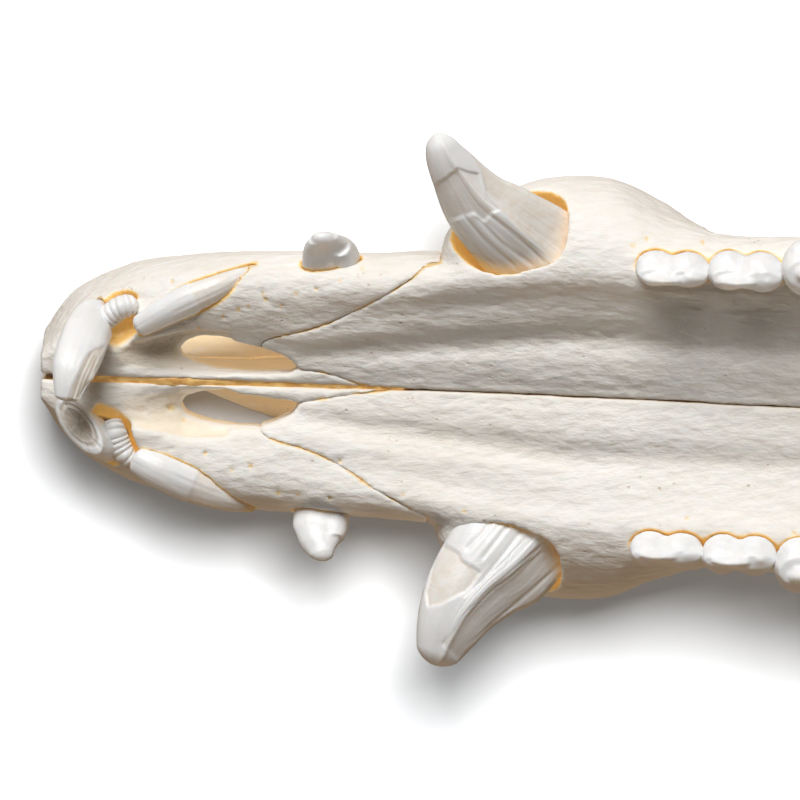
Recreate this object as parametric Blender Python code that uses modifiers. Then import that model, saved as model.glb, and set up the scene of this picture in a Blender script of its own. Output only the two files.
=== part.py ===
"""A wild boar's skull without its lower jaw, life size, lying on its roof with the palate up.

Lengths are in millimetres until they reach Blender, which gets metres. A place on the skull is
(s, y, z): s runs back from the snout's tip, y to the animal's left, and z up from the floor that
the nasal bones and the nuchal crest lie on. The animal's roof is therefore at low z.
"""

import math

import bmesh
import bpy
import numpy as np
from mathutils import Matrix

MM = 0.001
LENGTH = 376.0          # snout tip to nuchal crest
GAP = 0.4               # open suture between two bones
RING = 36               # points round a section
FUSE_VOXEL = 1.5        # the grain at which overlapping forms become one skin
DRAFT_SMOOTH, FINAL_SMOOTH = 3, 1
DRAFT_RATIO, FINAL_RATIO = 0.12, 0.0215   # shares of the faces kept before and after the hollows
FRONT, REAR = -20.0, 400.0                # a space round the whole skull
SIDE = 95.0
UNDER, OVER = -9.0, 140.0

BONE_LOOK = (0.86, 0.80, 0.69), 0.6       # colour and roughness
ENAMEL_LOOK = (0.93, 0.91, 0.85), 0.3

# Profiles: (s, value) pairs, joined by a smooth curve that never overshoots them.
PALATE_Z = ((0, 43), (8, 45.5), (30, 48), (66, 53), (100, 60), (150, 72), (200, 83), (228, 88))
ALVEOLAR_RISE = ((0, 0), (30, 0.8), (60, 2.5), (100, 4), (150, 5), (228, 5))
ALVEOLAR_W = ((-1, 4), (3, 9), (8, 13.3), (18, 18.2), (36, 21), (66, 22.4), (76, 29), (86, 33), (96, 33),
              (106, 29), (114, 27.3), (130, 28.5), (150, 34), (170, 37), (190, 38.5), (204, 36), (228, 22))
WALL_W = ((-1, 6), (3, 11.8), (8, 15.4), (18, 19.8), (36, 22.2), (66, 23), (76, 30.5), (85, 35.5), (95, 37),
          (104, 33), (116, 27), (135, 25), (155, 27), (175, 33), (195, 37), (228, 26))
NASAL_W = ((18, 1.6), (24, 4.5), (32, 8), (43, 12), (60, 13.5), (120, 15), (170, 16.5), (198, 17))
SHOULDER_W = ((0, 9), (20, 12), (43, 15), (60, 17.5), (120, 20), (170, 24), (200, 29), (228, 40))
ROOF_Z = ((0, 0), (27, 0), (60, 1.2), (120, 2.4), (185, 2.6), (235, 1.6), (275, 1.6), (330, 2.4), (366, -1))
ROOF_W = ((186, 16), (200, 25), (215, 35), (230, 44.5), (242, 51), (251, 49), (260, 37), (272, 27), (295, 21),
          (325, 20), (348, 23), (364, 31), (LENGTH, 29))
BRAIN_W = ((205, 18), (222, 17), (240, 21), (258, 31), (280, 37), (300, 39), (318, 38), (334, 25))
BASE_Z = ((205, 78), (225, 74), (245, 69), (275, 70), (300, 77), (322, 85), (334, 82))
RIM_Z = ((-6, 28), (8, 26), (22, 23), (34, 16), (43, 9), (47, 5))   # premaxilla's edge beside the nostril
FLOOR_Z = ((-6, 27), (10, 30), (26, 38), (50, 41), (100, 49), (150, 61))   # floor of the nasal cavity
CAVITY_W = ((-6, 6), (8, 9), (22, 13), (40, 15), (60, 14), (80, 10), (120, 9))
NASAL_UNDER_Z = 7.0     # inner face of the nasal bones
ROOF_THICK = 11.0

# The open suture between premaxilla and maxilla, on plan, from the midline out.
PREMAXILLA_SUTURE = ((60.5, 0.2), (44, 2.4), (44, 6.0), (51.5, 10.0), (59, 16.7), (66.5, 22.5), (68, 60))
PREMAXILLA_SPLINT = ((40, 45), (66.8, 45), (118, 9), (118, -8), (40, -8))   # (s, z), beside the nasal
SPLINT_INNER_Y = 9.0
FACE_BACK_S = 213.0     # back of the maxilla, at the front of the eye socket
NASAL_BACK_S = 197.0
FRONTAL_BACK_S = 291.0
FRONTAL_DEPTH_Z = 13.0
ARCH_SPAN_S = (189.0, 291.0)
ARCH_INNER_Y = 42.0
BROW_SPAN_S = (226.0, 264.0)
BROW_TIP_Z = 33.0
CHEEK_ROOT_Z = 44.0     # the cheekbone's lower edge before the eye
CHEEK_ROOT_BACK_S = 219.0

FISSURE_S = (23.0, 43.5)
FISSURE_Y = 5.0
FISSURE_HALF = 3.0

# Back of the head: (z, rear face's s, half width, thickness).
OCCIPUT = ((-2, LENGTH, 30, 9), (5, LENGTH + 0.5, 34, 14), (14, 371, 37, 22), (26, 361, 43, 28),
           (40, 350, 49, 32), (54, 341, 50, 34), (66, 334, 49, 34), (76, 331, 40, 32), (85, 329, 20, 26))
# Forms drawn along a path: (s, y, z, half size level with the floor, half size upright).
ARCH = ((168, 29, 63, 7, 12), (186, 37, 61, 9, 15), (204, 49, 57, 8, 17), (226, 61, 53, 6, 17),
        (248, 68, 49, 5, 17), (268, 70, 44, 5, 16), (284, 67, 39, 6, 15), (297, 58, 36, 8, 14),
        (309, 47, 36, 11, 14), (322, 36, 37, 13, 14))
JUGULAR = ((314, 41, 60, 9, 12), (315, 41, 78, 6.5, 9), (316, 39.5, 94, 4.5, 7), (317, 37.5, 108, 3.6, 5.5),
           (318, 36, 119, 2.6, 4), (318.3, 35.6, 123, 1.2, 1.8))
TEMPORAL_CREST = ((306, 53, 34, 6, 8), (322, 50, 34, 6, 9), (338, 43, 27, 6, 9), (352, 36, 17, 6, 8),
                  (367, 31, 5, 5, 6))
PTERYGOID = ((214, 15, 78, 3.2, 9), (232, 15.5, 80, 2.4, 9), (250, 15, 80, 2.2, 9), (262, 15, 84, 2.2, 7),
             (269, 16, 89, 1.6, 3))
EAR_TUBE = ((312, 40, 42, 7, 8), (317, 50, 35, 6, 6), (319, 54, 31, 5, 5))
POSTORBITAL = ((232, 40, 8, 6, 9), (246, 50, 11, 6, 9), (253, 56, 18, 5, 7.5), (256, 59, 27, 3, 4.5))
# Rounded forms: centre, radii and turn on plan in degrees.
BULLA = (294, 21.5, 86), (9, 7.5, 13), 0
CONDYLE = (328, 14.5, 76), (11, 11.5, 13), 20
JAW_JOINT = (287, 45, 51), (12, 21, 9), 0
LACRIMAL = (203, 34, 32), (17, 15, 30), 0
CHEEK = (192, 34, 62), (24, 15, 19), 0
TUSK_SWELLING = (91, 25, 45), (17, 12, 12), -10
TUBER = (205, 26, 74), (16, 11, 17), 0
# Hollows, in the same terms.
ORBIT = (231, 50, 26), (19, 22, 18), 0
INFRAORBITAL = (151, 27.5, 50), (9, 4, 3.5), 12
NAPE_CENTRE, NAPE_RADII, NAPE_TILT = (367, 0, 35), (20, 31, 36), -32
EAR_HOLE = ((318, 49, 35, 2.6, 2.6), (321, 62, 28, 3, 3))
FORAMEN_MAGNUM = ((300, 0, 60, 9, 8), (322, 0, 65, 10.5, 10), (350, 0, 72, 14, 12))
TUSK_SOCKET = ((92, 18, 41, 9, 8), (85, 22.5, 47, 10.5, 9), (78, 28, 54, 11.5, 10), (70, 36, 61, 11.5, 11))
CHOANA = ((196, 68, 80), (215, 68, 84), (232, 71, 98), (252, 72, 100), (275, 73, 102))   # (s, low z, high z)
CHOANA_HALF = 12.0

# Tusk, socket to tip, drawn along its path.
TUSK = ((89, 20, 44, 7, 6.5), (84.5, 23.5, 49, 8.4, 7.2), (79.5, 27.5, 54, 8.6, 6.8), (75, 31.5, 58.5, 7.6, 6),
        (71, 35.8, 62, 6.4, 5), (68, 40, 64.6, 4.8, 4), (66.6, 43, 66, 3, 2.6), (66, 44.8, 66.6, 1.2, 1.2))
# Front teeth, root to tip, in the same way.
CENTRAL_INCISOR = ((12, 11.5, 38, 3.6, 4), (9.5, 10.3, 46, 4, 4.6), (7.2, 8.2, 52, 4.2, 4.6),
                   (5.5, 6.4, 56, 3.8, 4), (4.6, 4.6, 59.5, 2.4, 2.6))
MILK_INCISOR = ((38, 20.4, 47, 1, 1), (33, 18.8, 49.5, 2.1, 2.1), (26, 16, 52, 2.6, 2.4), (20, 13.2, 54, 2.4, 2.2),
                (16.4, 11.4, 55, 1.2, 1.2))
SECOND_INCISOR = ((15, 12.4, 40, 2.4, 3), (13.6, 11.3, 46, 2.6, 3.2), (12.8, 10.7, 49.5, 2, 2.8))
THIRD_INCISOR = ((49.5, 16, 45, 3.6, 3), (49, 20, 50.5, 4.6, 2.7), (48.4, 23.6, 56, 4.4, 2.2),
                 (47.8, 27, 61, 2.2, 1.2))
TUSK_SIDES, INCISOR_SIDES, TOOTH_SIDES = 10, 9, 9
# Cheek teeth: name, first s, last s, the row's y, width, crown height, cusp sharpness.
CHEEK_TEETH = (
    ("first_premolar", 100.6, 112.0, 23.8, 5.6, 5.5, 0.75),
    ("second_premolar", 112.3, 124.3, 23.9, 6.6, 6.5, 0.72),
    ("third_premolar", 124.6, 138.4, 25.3, 9.4, 7.0, 0.6),
    ("fourth_premolar", 138.7, 151.4, 27.2, 12.6, 6.5, 0.35),
    ("first_molar", 151.7, 168.5, 28.6, 13.6, 5.0, 0.22),
    ("second_molar", 168.8, 190.0, 29.8, 16.6, 6.0, 0.25),
)
TOOTH_ROOT = 7.0


def profile(points):
    """The smooth curve through (station, value) points, level beyond its ends."""
    stations, values = (np.array(column, float) for column in zip(*points))
    steps = np.diff(stations)
    slopes = np.diff(values) / steps
    tangents = np.zeros(len(values))
    same_way = slopes[:-1] * slopes[1:] > 0
    weights = 2 * steps[1:] + steps[:-1], steps[1:] + 2 * steps[:-1]
    inner = sum(weights) / (weights[0] / np.where(same_way, slopes[:-1], 1)
                            + weights[1] / np.where(same_way, slopes[1:], 1))
    tangents[1:-1] = np.where(same_way, inner, 0)
    tangents[0], tangents[-1] = slopes[0], slopes[-1]

    def at(s):
        s = np.clip(s, stations[0], stations[-1])
        i = np.clip(np.searchsorted(stations, s) - 1, 0, len(steps) - 1)
        t = (s - stations[i]) / steps[i]
        rise = t * t * (3 - 2 * t)
        lean = steps[i] * t * (1 - t) * ((1 - t) * tangents[i] - t * tangents[i + 1])
        return values[i] + rise * (values[i + 1] - values[i]) + lean

    return at


palate_z, alveolar_rise, alveolar_w, wall_w = map(profile, (PALATE_Z, ALVEOLAR_RISE, ALVEOLAR_W, WALL_W))
nasal_w, shoulder_w, roof_z, roof_w = map(profile, (NASAL_W, SHOULDER_W, ROOF_Z, ROOF_W))
brain_w, base_z, rim_z, floor_z, cavity_w = map(profile, (BRAIN_W, BASE_Z, RIM_Z, FLOOR_Z, CAVITY_W))


def world(s, y, z):
    """A place on the skull, in metres, with the origin under the middle of the skull."""
    return ((s - LENGTH / 2) * MM, y * MM, z * MM)


def clear_scene():
    for obj in list(bpy.data.objects):
        bpy.data.objects.remove(obj, do_unlink=True)


def collection(name, shown):
    made = bpy.data.collections.new(name)
    made.hide_render = not shown
    bpy.context.scene.collection.children.link(made)
    return made


def add_object(name, mesh, into):
    obj = bpy.data.objects.new(name, mesh)
    into.objects.link(obj)
    if into.hide_render:
        obj.hide_render = True
        obj.display_type = "WIRE"
    return obj


def mesh_of(name, shape):
    bmesh.ops.recalc_face_normals(shape, faces=shape.faces)
    mesh = bpy.data.meshes.new(name)
    shape.to_mesh(mesh)
    shape.free()
    return mesh


def smooth_ring(points, count=RING):
    """A closed smooth curve through the points, as that many points."""
    points = np.array(points, float)
    n = len(points)
    t = np.arange(count) * n / count
    i = t.astype(int)
    f = (t - i)[:, None]
    a, b, c, d = (points[(i + k) % n] for k in (-1, 0, 1, 2))
    return b + f / 2 * ((c - a) + f * ((2 * a - 5 * b + 4 * c - d) + f * (3 * (b - c) + d - a)))


def mirrored_ring(half):
    """The whole outline from its left half, which starts and ends on the midline."""
    return [*half, *((-y, z) for y, z in reversed(half[1:-1]))]


def loft(name, rings, into):
    """A closed solid through rings of (s, y, z) points, with flat ends."""
    shape = bmesh.new()
    loops = [[shape.verts.new(world(*point)) for point in ring] for ring in rings]
    for near, far in zip(loops, loops[1:]):
        for i in range(len(near)):
            j = (i + 1) % len(near)
            shape.faces.new((near[i], near[j], far[j], far[i]))
    shape.faces.new(loops[0])
    shape.faces.new(loops[-1])
    shape.normal_update()
    bmesh.ops.triangulate(shape, faces=[f for f in shape.faces if len(f.verts) > 4])
    return add_object(name, mesh_of(name, shape), into)


def loft_along_s(name, section, stations, into):
    """A loft of sections across the skull's length. section(s) is the left half's (y, z) points."""
    rings = [[(s, y, z) for y, z in smooth_ring(mirrored_ring(section(s)))] for s in stations]
    return loft(name, rings, into)


def ellipsoid(name, centre, radii, yaw, into, tilt=0.0):
    """A ball stretched to radii along s, y and z, tilted about y and then turned about z, in degrees."""
    shape = bmesh.new()
    bmesh.ops.create_uvsphere(shape, u_segments=24, v_segments=14, radius=1)
    obj = add_object(name, mesh_of(name, shape), into)
    obj.scale = [r * MM for r in radii]
    obj.rotation_euler = (0, math.radians(tilt), math.radians(yaw))
    obj.location = world(*centre)
    return obj


def tube(name, stations, into, sides=16):
    """A closed solid of elliptical sections square to its path.

    Each station is (s, y, z, across, tall): across is the half size level with the floor, and tall
    the half size in the upright plane along the path.
    """
    path = np.array([row[:3] for row in stations], float)
    sizes = np.array([row[3:] for row in stations], float)
    along = np.gradient(path, axis=0)
    along /= np.linalg.norm(along, axis=1)[:, None]
    rings = []
    for centre, way, (across, tall) in zip(path, along, sizes):
        side = np.cross((0, 0, 1), way) if abs(way[2]) < 0.85 else np.cross((1, 0, 0), way)
        side /= np.linalg.norm(side)
        up = np.cross(way, side)
        turns = np.arange(sides) * 2 * math.pi / sides
        rings.append([centre + across * math.cos(t) * side + tall * math.sin(t) * up for t in turns])
    return loft(name, rings, into)


def prism(name, outline, low, high, into):
    """An outline on plan, (s, y) points, as a solid between two heights."""
    shape = bmesh.new()
    face = shape.faces.new([shape.verts.new(world(s, y, low)) for s, y in outline])
    side = bmesh.ops.extrude_face_region(shape, geom=[face])
    raised = [v for v in side["geom"] if isinstance(v, bmesh.types.BMVert)]
    bmesh.ops.translate(shape, verts=raised, vec=(0, 0, (high - low) * MM))
    shape.normal_update()
    bmesh.ops.triangulate(shape, faces=shape.faces)
    return add_object(name, mesh_of(name, shape), into)


def side_prism(name, outline, y_span, into):
    """An outline seen from the side, (s, z) points, as a solid between two distances from the midline."""
    return loft(name, [[(s, y, z) for s, z in outline] for y in y_span], into)


def box(name, s_span, y_span, z_span, into):
    outline = [(s_span[0], y_span[0]), (s_span[1], y_span[0]), (s_span[1], y_span[1]), (s_span[0], y_span[1])]
    return prism(name, outline, *z_span, into)


def mirrored(left, name, into):
    """The same shape on the right, mirrored across the skull's middle plane."""
    mesh = left.data.copy()
    mesh.transform(Matrix.Diagonal((1, -1, 1, 1)) @ left.matrix_basis)
    mesh.flip_normals()
    return add_object(name, mesh, into)


def both_sides(make, name, *sizes, into, **more):
    """The same form on the left and on the right."""
    left = make(f"{name}_left", *sizes, into=into, **more)
    return [left, mirrored(left, f"{name}_right", into)]


def modify(obj, kind, **settings):
    modifier = obj.modifiers.new(kind.lower(), kind)
    for key, value in settings.items():
        setattr(modifier, key, value)
    return modifier


def baked(obj, name, into):
    """A new object with the mesh that obj's modifiers make, in world space."""
    bpy.context.view_layer.update()
    graph = bpy.context.evaluated_depsgraph_get()
    mesh = bpy.data.meshes.new_from_object(obj.evaluated_get(graph))
    mesh.transform(obj.matrix_world)
    mesh.name = name
    return add_object(name, mesh, into)


def without_crumbs(obj):
    """The object's largest body alone: cuts that graze a surface leave loose crumbs beside it."""
    shape = bmesh.new()
    shape.from_mesh(obj.data)
    waiting, bodies = set(shape.verts), []
    while waiting:
        body, edge_of_body = set(), [waiting.pop()]
        while edge_of_body:
            vert = edge_of_body.pop()
            body.add(vert)
            near = {edge.other_vert(vert) for edge in vert.link_edges} & waiting
            waiting -= near
            edge_of_body.extend(near)
        bodies.append(body)
    largest = max(bodies, key=len)
    bmesh.ops.delete(shape, geom=[v for v in shape.verts if v not in largest], context="VERTS")
    shape.to_mesh(obj.data)
    shape.free()
    return obj


def joined(name, objects, into):
    """One object that holds the meshes of several, in world space."""
    bpy.context.view_layer.update()
    shape = bmesh.new()
    for obj in objects:
        mesh = obj.data.copy()
        mesh.transform(obj.matrix_world)
        shape.from_mesh(mesh)
        bpy.data.meshes.remove(mesh)
    mesh = bpy.data.meshes.new(name)
    shape.to_mesh(mesh)
    shape.free()
    return add_object(name, mesh, into)


def cut(obj, *cutters, operation="DIFFERENCE"):
    for cutter in cutters:
        modify(obj, "BOOLEAN", operation=operation, object=cutter)


def material(name, colour, roughness):
    made = bpy.data.materials.new(name)
    made.use_nodes = True
    shader = made.node_tree.nodes["Principled BSDF"]
    shader.inputs["Base Color"].default_value = (*colour, 1)
    shader.inputs["Roughness"].default_value = roughness
    shader.inputs["Metallic"].default_value = 0
    return made


# --- The forms that make up the bone -------------------------------------------------------------


def face_section(s):
    """Half outline of the muzzle and face: palate, alveolar ridge, cheek and roof."""
    palate, crest = palate_z(s), palate_z(s) + alveolar_rise(s)
    edge, wall, shoulder, roof = alveolar_w(s), wall_w(s), shoulder_w(s), roof_z(s)
    deep = crest - roof
    return [
        (0, palate),
        (0.36 * edge, palate - 0.4),
        (0.62 * edge, palate + 0.35 * (crest - palate)),
        (0.84 * edge, crest),
        (edge, crest - 0.08 * deep),
        (wall, crest - 0.34 * deep),
        (0.55 * wall + 0.45 * shoulder, crest - 0.62 * deep),
        (shoulder, roof + 0.06 * deep + 3),
        (0.8 * shoulder, roof - 0.5),
        (0, roof - 0.5),
    ]


def roof_section(s):
    """Half outline of the frontal and parietal roof: a flat slab with a rounded brow."""
    half, roof = roof_w(s), roof_z(s)
    return [
        (0, roof + ROOF_THICK),
        (0.7 * half, roof + 0.85 * ROOF_THICK),
        (half, roof + 0.45 * ROOF_THICK),
        (0.93 * half, roof + 1.6),
        (0.6 * half, roof + 0.3),
        (0, roof),
    ]


def brain_section(s):
    """Half outline of the braincase between roof and skull base."""
    half, low, high = brain_w(s), roof_z(s) + 3, base_z(s)
    deep = high - low
    return [
        (0, high),
        (0.42 * half, high - 0.02 * deep),
        (0.8 * half, high - 0.16 * deep),
        (half, high - 0.45 * deep),
        (0.86 * half, high - 0.75 * deep),
        (0.6 * half, low),
        (0, low),
    ]


def back_of_head(into):
    """The nuchal crest and the plate below it, drawn up from the crest."""
    rings = []
    for z, rear, half, thick in OCCIPUT:
        outline = [(1, 0.8), (1, -0.8), (0.5, -1), (0.08, -0.86), (0, -0.35), (0, 0.35), (0.08, 0.86), (0.5, 1)]
        ring = smooth_ring([(rear - forward * thick, across * half) for forward, across in outline])
        rings.append([(s, y, z) for s, y in ring])
    return loft("form_back", rings, into)


def bone_forms(into):
    """Every form that fuses into the bony skull, without its teeth."""
    face = loft_along_s("form_face", face_section, [-0.8, 1, 4, 8, *range(14, 229, 6)], into)
    roof = loft_along_s("form_roof", roof_section, [*range(186, 371, 6), LENGTH - 1.5], into)
    brain = loft_along_s("form_brain", brain_section, [*range(205, 331, 6), 334], into)
    tubes = {"arch": ARCH, "jugular": JUGULAR, "crest": TEMPORAL_CREST, "pterygoid": PTERYGOID,
             "ear": EAR_TUBE, "brow": POSTORBITAL}
    lumps = {"bulla": BULLA, "condyle": CONDYLE, "joint": JAW_JOINT, "lacrimal": LACRIMAL, "cheek": CHEEK,
             "tusk_swelling": TUSK_SWELLING, "tuber": TUBER}
    paired = [both_sides(tube, f"form_{name}", path, into=into) for name, path in tubes.items()]
    paired += [both_sides(ellipsoid, f"form_{name}", *sizes, into=into) for name, sizes in lumps.items()]
    return [face, roof, brain, back_of_head(into), *(form for pair in paired for form in pair)]


# --- The hollows -------------------------------------------------------------------------------------


def cavity_section(s):
    """Half outline of the nasal cavity."""
    half, floor = cavity_w(s), floor_z(s)
    low = NASAL_UNDER_Z
    deep = floor - low
    return [(0, floor), (0.7 * half, floor - 1), (half, floor - 0.35 * deep), (0.85 * half, low + 0.15 * deep),
            (0.6 * half, low), (0, low)]


def nostril_cutter(into):
    """All that is open beside and before the nasal bones, above the premaxilla's rim."""
    stations = [-6, 2, 10, 18, 26, 32, 37, 41, 44, 47]
    rings = [[(s, -SIDE, UNDER), (s, SIDE, UNDER), (s, SIDE, rim_z(s)), (s, -SIDE, rim_z(s))] for s in stations]
    return loft("cut_nostril", rings, into)


def fissure_cutter(name, into):
    """The gap of the palate behind the incisors, pointed behind."""
    (start, stop), points = FISSURE_S, 10
    half_widths = [FISSURE_HALF * math.sin(math.pi * (k / points) ** 0.75) ** 0.6 for k in range(points + 1)]
    stations = [start + (stop - start) * k / points for k in range(points + 1)]
    outer = [(s, FISSURE_Y + w) for s, w in zip(stations, half_widths)]
    inner = [(s, FISSURE_Y - w) for s, w in zip(stations, half_widths)]
    return prism(name, outer + inner[-2:0:-1], rim_z(stop) + 15, OVER, into)


def choana_cutter(into):
    """The inner nostrils, between the pterygoid plates, with the passage that leads to them."""
    rings = []
    for s, low, high in CHOANA:
        half = [(0, high), (0.9 * CHOANA_HALF, high - 2), (CHOANA_HALF, low + 6), (0.65 * CHOANA_HALF, low),
                (0, low)]
        rings.append([(s, y, z) for y, z in smooth_ring(mirrored_ring(half))])
    return loft("cut_choana", rings, into)


def hollows(into):
    """Every hollow that opens on the skull's surface."""
    paired = [
        both_sides(ellipsoid, "cut_orbit", *ORBIT, into=into),
        both_sides(ellipsoid, "cut_infraorbital", *INFRAORBITAL, into=into),
        both_sides(tube, "cut_ear", EAR_HOLE, into=into),
        both_sides(tube, "cut_socket", TUSK_SOCKET, into=into),
        both_sides(fissure_cutter, "cut_fissure", into=into),
    ]
    return [
        loft_along_s("cut_cavity", cavity_section, range(-6, 121, 6), into),
        choana_cutter(into),
        tube("cut_magnum", FORAMEN_MAGNUM, into),
        ellipsoid("cut_nape", NAPE_CENTRE, NAPE_RADII, 0, into, tilt=NAPE_TILT),
        nostril_cutter(into),
        *(hollow for pair in paired for hollow in pair),
    ]


# --- Teeth ---------------------------------------------------------------------------------------------


def cheek_tooth(name, start, stop, row_y, width, height, sharp, into):
    """A crown on its neck: a rounded block that narrows to a ridge, the sharper the further forward."""
    middle, half_long = (start + stop) / 2, (stop - start) / 2
    gum = palate_z(middle) + alveolar_rise(middle)
    slope = (palate_z(stop) - palate_z(start)) / (stop - start)
    turns = np.arange(TOOTH_SIDES) * 2 * math.pi / TOOTH_SIDES
    # Height over the gum, then the share of the tooth's length and width.
    levels = ((-TOOTH_ROOT, 0.8, 0.62), (0, 0.94, 0.86), (0.5 * height, 1, 1),
              (0.8 * height, 0.92, 1 - 0.6 * sharp), (height, 0.72 - 0.35 * sharp, 0.8 - 0.75 * sharp))
    rings = []
    for rise, long, wide in levels:
        rings.append([(middle + half_long * long * math.cos(t), row_y + 0.5 * width * wide * math.sin(t),
                       gum + rise + slope * half_long * long * math.cos(t)) for t in turns])
    return loft(name, rings, into)


def front_teeth(into):
    paths = {"central": CENTRAL_INCISOR, "milk": MILK_INCISOR, "second": SECOND_INCISOR,
             "third": THIRD_INCISOR}
    return [tube(f"{name}_incisor", path, into, INCISOR_SIDES) for name, path in paths.items()]


# --- Bones, each cut from the whole --------------------------------------------------------------------


def premaxilla_space(name, grow, into):
    """The left premaxilla's space: before its suture on the palate, and its splint beside the nasal."""
    middle = GAP / 2 if not grow else -1.0
    suture = [(s + grow, max(y, middle)) for s, y in PREMAXILLA_SUTURE]
    front = prism(name, [(FRONT, middle), *suture, (FRONT, suture[-1][1])], UNDER, OVER, into)
    splint = [(s + grow, z + grow) for s, z in PREMAXILLA_SPLINT]
    beside = side_prism("premaxilla_splint", splint, (SPLINT_INNER_Y - grow, SIDE), into)
    cut(front, beside, operation="UNION")
    return front


def nasal_bone(into):
    """The left nasal bone, a long roof plate that ends in a point over the nostril."""
    def section(s):
        half, roof = nasal_w(s), roof_z(s)
        return [(GAP / 2, NASAL_UNDER_Z), (0.85 * half, NASAL_UNDER_Z), (half, 0.7 * NASAL_UNDER_Z),
                (half, roof + 1.6), (0.8 * half, roof), (GAP / 2, roof)]
    stations = [18, 21, 25, 30, 36, 43, *range(52, 190, 18), NASAL_BACK_S]
    return loft("nasal_left", [[(s, y, z) for y, z in section(s)] for s in stations], into)


def nasal_space(into):
    """Room for both nasal bones, with their sutures' gap."""
    stations = [17.5, 24, 32, 43, 60, 90, 120, 150, NASAL_BACK_S + GAP]
    left = [(s, nasal_w(s) + GAP) for s in stations]
    outline = left + [(s, -y) for s, y in reversed(left)]
    return prism("nasal_space", outline, UNDER, NASAL_UNDER_Z + GAP, into)


def face_space(into):
    """The left maxilla's space, before its other neighbours are taken from it."""
    return box("face_space", (0, FACE_BACK_S - GAP / 2), (GAP / 2, SIDE), (UNDER, OVER), into)


def arch_space(name, grow, into):
    """The left cheekbone's space: outside a line beside the teeth, and above the brow's process."""
    first, last = ARCH_SPAN_S[0] - grow, ARCH_SPAN_S[1] + grow
    low, brow = FRONTAL_DEPTH_Z + GAP / 2 - grow, BROW_TIP_Z + GAP / 2 - grow
    brow_first, brow_last = BROW_SPAN_S[0] - GAP / 2 + grow, BROW_SPAN_S[1] + GAP / 2 - grow
    root, root_back = CHEEK_ROOT_Z + GAP / 2 - grow, CHEEK_ROOT_BACK_S + GAP / 2 - grow
    outline = [(first, root), (root_back, root), (root_back, low), (brow_first, low), (brow_first, brow),
               (brow_last, brow), (brow_last, low), (last, low), (last, OVER), (first, OVER)]
    return side_prism(name, outline, (ARCH_INNER_Y - grow, SIDE), into)


def brow_space(name, grow, into):
    """The left frontal's space: the forehead slab and the process behind the eye."""
    inner = GAP / 2 if not grow else -1.0
    slab = box(f"{name}_slab", (NASAL_BACK_S + GAP - grow, FRONTAL_BACK_S + grow), (inner, SIDE),
               (UNDER, FRONTAL_DEPTH_Z - GAP / 2 + grow), into)
    process = box(f"{name}_process", (BROW_SPAN_S[0] - grow, BROW_SPAN_S[1] + grow),
                  (ARCH_INNER_Y - grow, SIDE), (UNDER, BROW_TIP_Z - GAP / 2 + grow), into)
    cut(slab, process, operation="UNION")
    return baked(slab, name, into)


def bone(name, whole, keep, take, into, helpers, teeth=()):
    """A bone: the part of the whole inside one space and outside others, with its teeth joined to it."""
    source = add_object(f"{name}_source", whole.data.copy(), helpers)
    if keep:
        cut(source, keep, operation="INTERSECT")
    cut(source, *take)
    cut(source, *teeth, operation="UNION")
    return without_crumbs(baked(source, name, into))


def fused_skull(helpers):
    """All the bone as one skin, hollowed out, before it is parted."""
    forms = joined("forms", bone_forms(helpers), helpers)
    modify(forms, "REMESH", mode="VOXEL", voxel_size=FUSE_VOXEL * MM)
    modify(forms, "SMOOTH", iterations=DRAFT_SMOOTH, factor=0.5)
    modify(forms, "DECIMATE", ratio=DRAFT_RATIO)
    solid = baked(forms, "solid", helpers)
    cut(solid, *hollows(helpers))
    modify(solid, "REMESH", mode="VOXEL", voxel_size=FUSE_VOXEL * MM)
    modify(solid, "SMOOTH", iterations=FINAL_SMOOTH, factor=0.5)
    modify(solid, "DECIMATE", ratio=FINAL_RATIO)
    hollowed = baked(solid, "hollowed", helpers)
    cut(hollowed, box("floor", (FRONT, REAR), (-SIDE, SIDE), (UNDER, 0), helpers))
    return baked(hollowed, "whole", helpers)


def left_bones(whole, arch_hole, brow_hole, skull, helpers):
    """The left half's bones, each with its teeth, and its tusk."""
    nasals = nasal_space(helpers)
    premaxilla_hole = premaxilla_space("premaxilla_hole", GAP, helpers)
    cheek_teeth = [cheek_tooth(*sizes, helpers) for sizes in CHEEK_TEETH]
    return [
        bone("premaxilla_left", whole, premaxilla_space("premaxilla_keep", 0, helpers), [nasals], skull, helpers,
             teeth=front_teeth(helpers)),
        bone("maxilla_left", whole, face_space(helpers), [nasals, premaxilla_hole, arch_hole, brow_hole], skull,
             helpers, teeth=cheek_teeth),
        bone("zygomatic_left", whole, arch_space("arch_keep", 0, helpers), [], skull, helpers),
        bone("frontal_left", whole, brow_space("brow_keep", 0, helpers), [], skull, helpers),
        nasal_bone(skull),
        tube("tusk_left", TUSK, skull, TUSK_SIDES),
    ]


def build():
    clear_scene()
    helpers = collection("helpers", shown=False)
    skull = collection("boar_skull", shown=True)
    whole = fused_skull(helpers)
    arch_hole = arch_space("arch_hole", GAP, helpers)
    brow_hole = brow_space("brow_hole", GAP, helpers)
    for part in left_bones(whole, arch_hole, brow_hole, skull, helpers):
        mirrored(part, part.name.replace("_left", "_right"), skull)
    holes = [arch_hole, brow_hole, mirrored(arch_hole, "arch_hole_right", helpers),
             mirrored(brow_hole, "brow_hole_right", helpers)]
    muzzle = box("muzzle", (FRONT - 1, FACE_BACK_S + GAP / 2), (-SIDE - 1, SIDE), (UNDER - 1, OVER), helpers)
    bone("braincase", whole, None, [muzzle, *holes], skull, helpers)
    for part in skull.objects:
        look = ENAMEL_LOOK if part.name.startswith("tusk") else BONE_LOOK
        part.data.materials.clear()
        part.data.materials.append(material(part.name, *look))


build()
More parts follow.
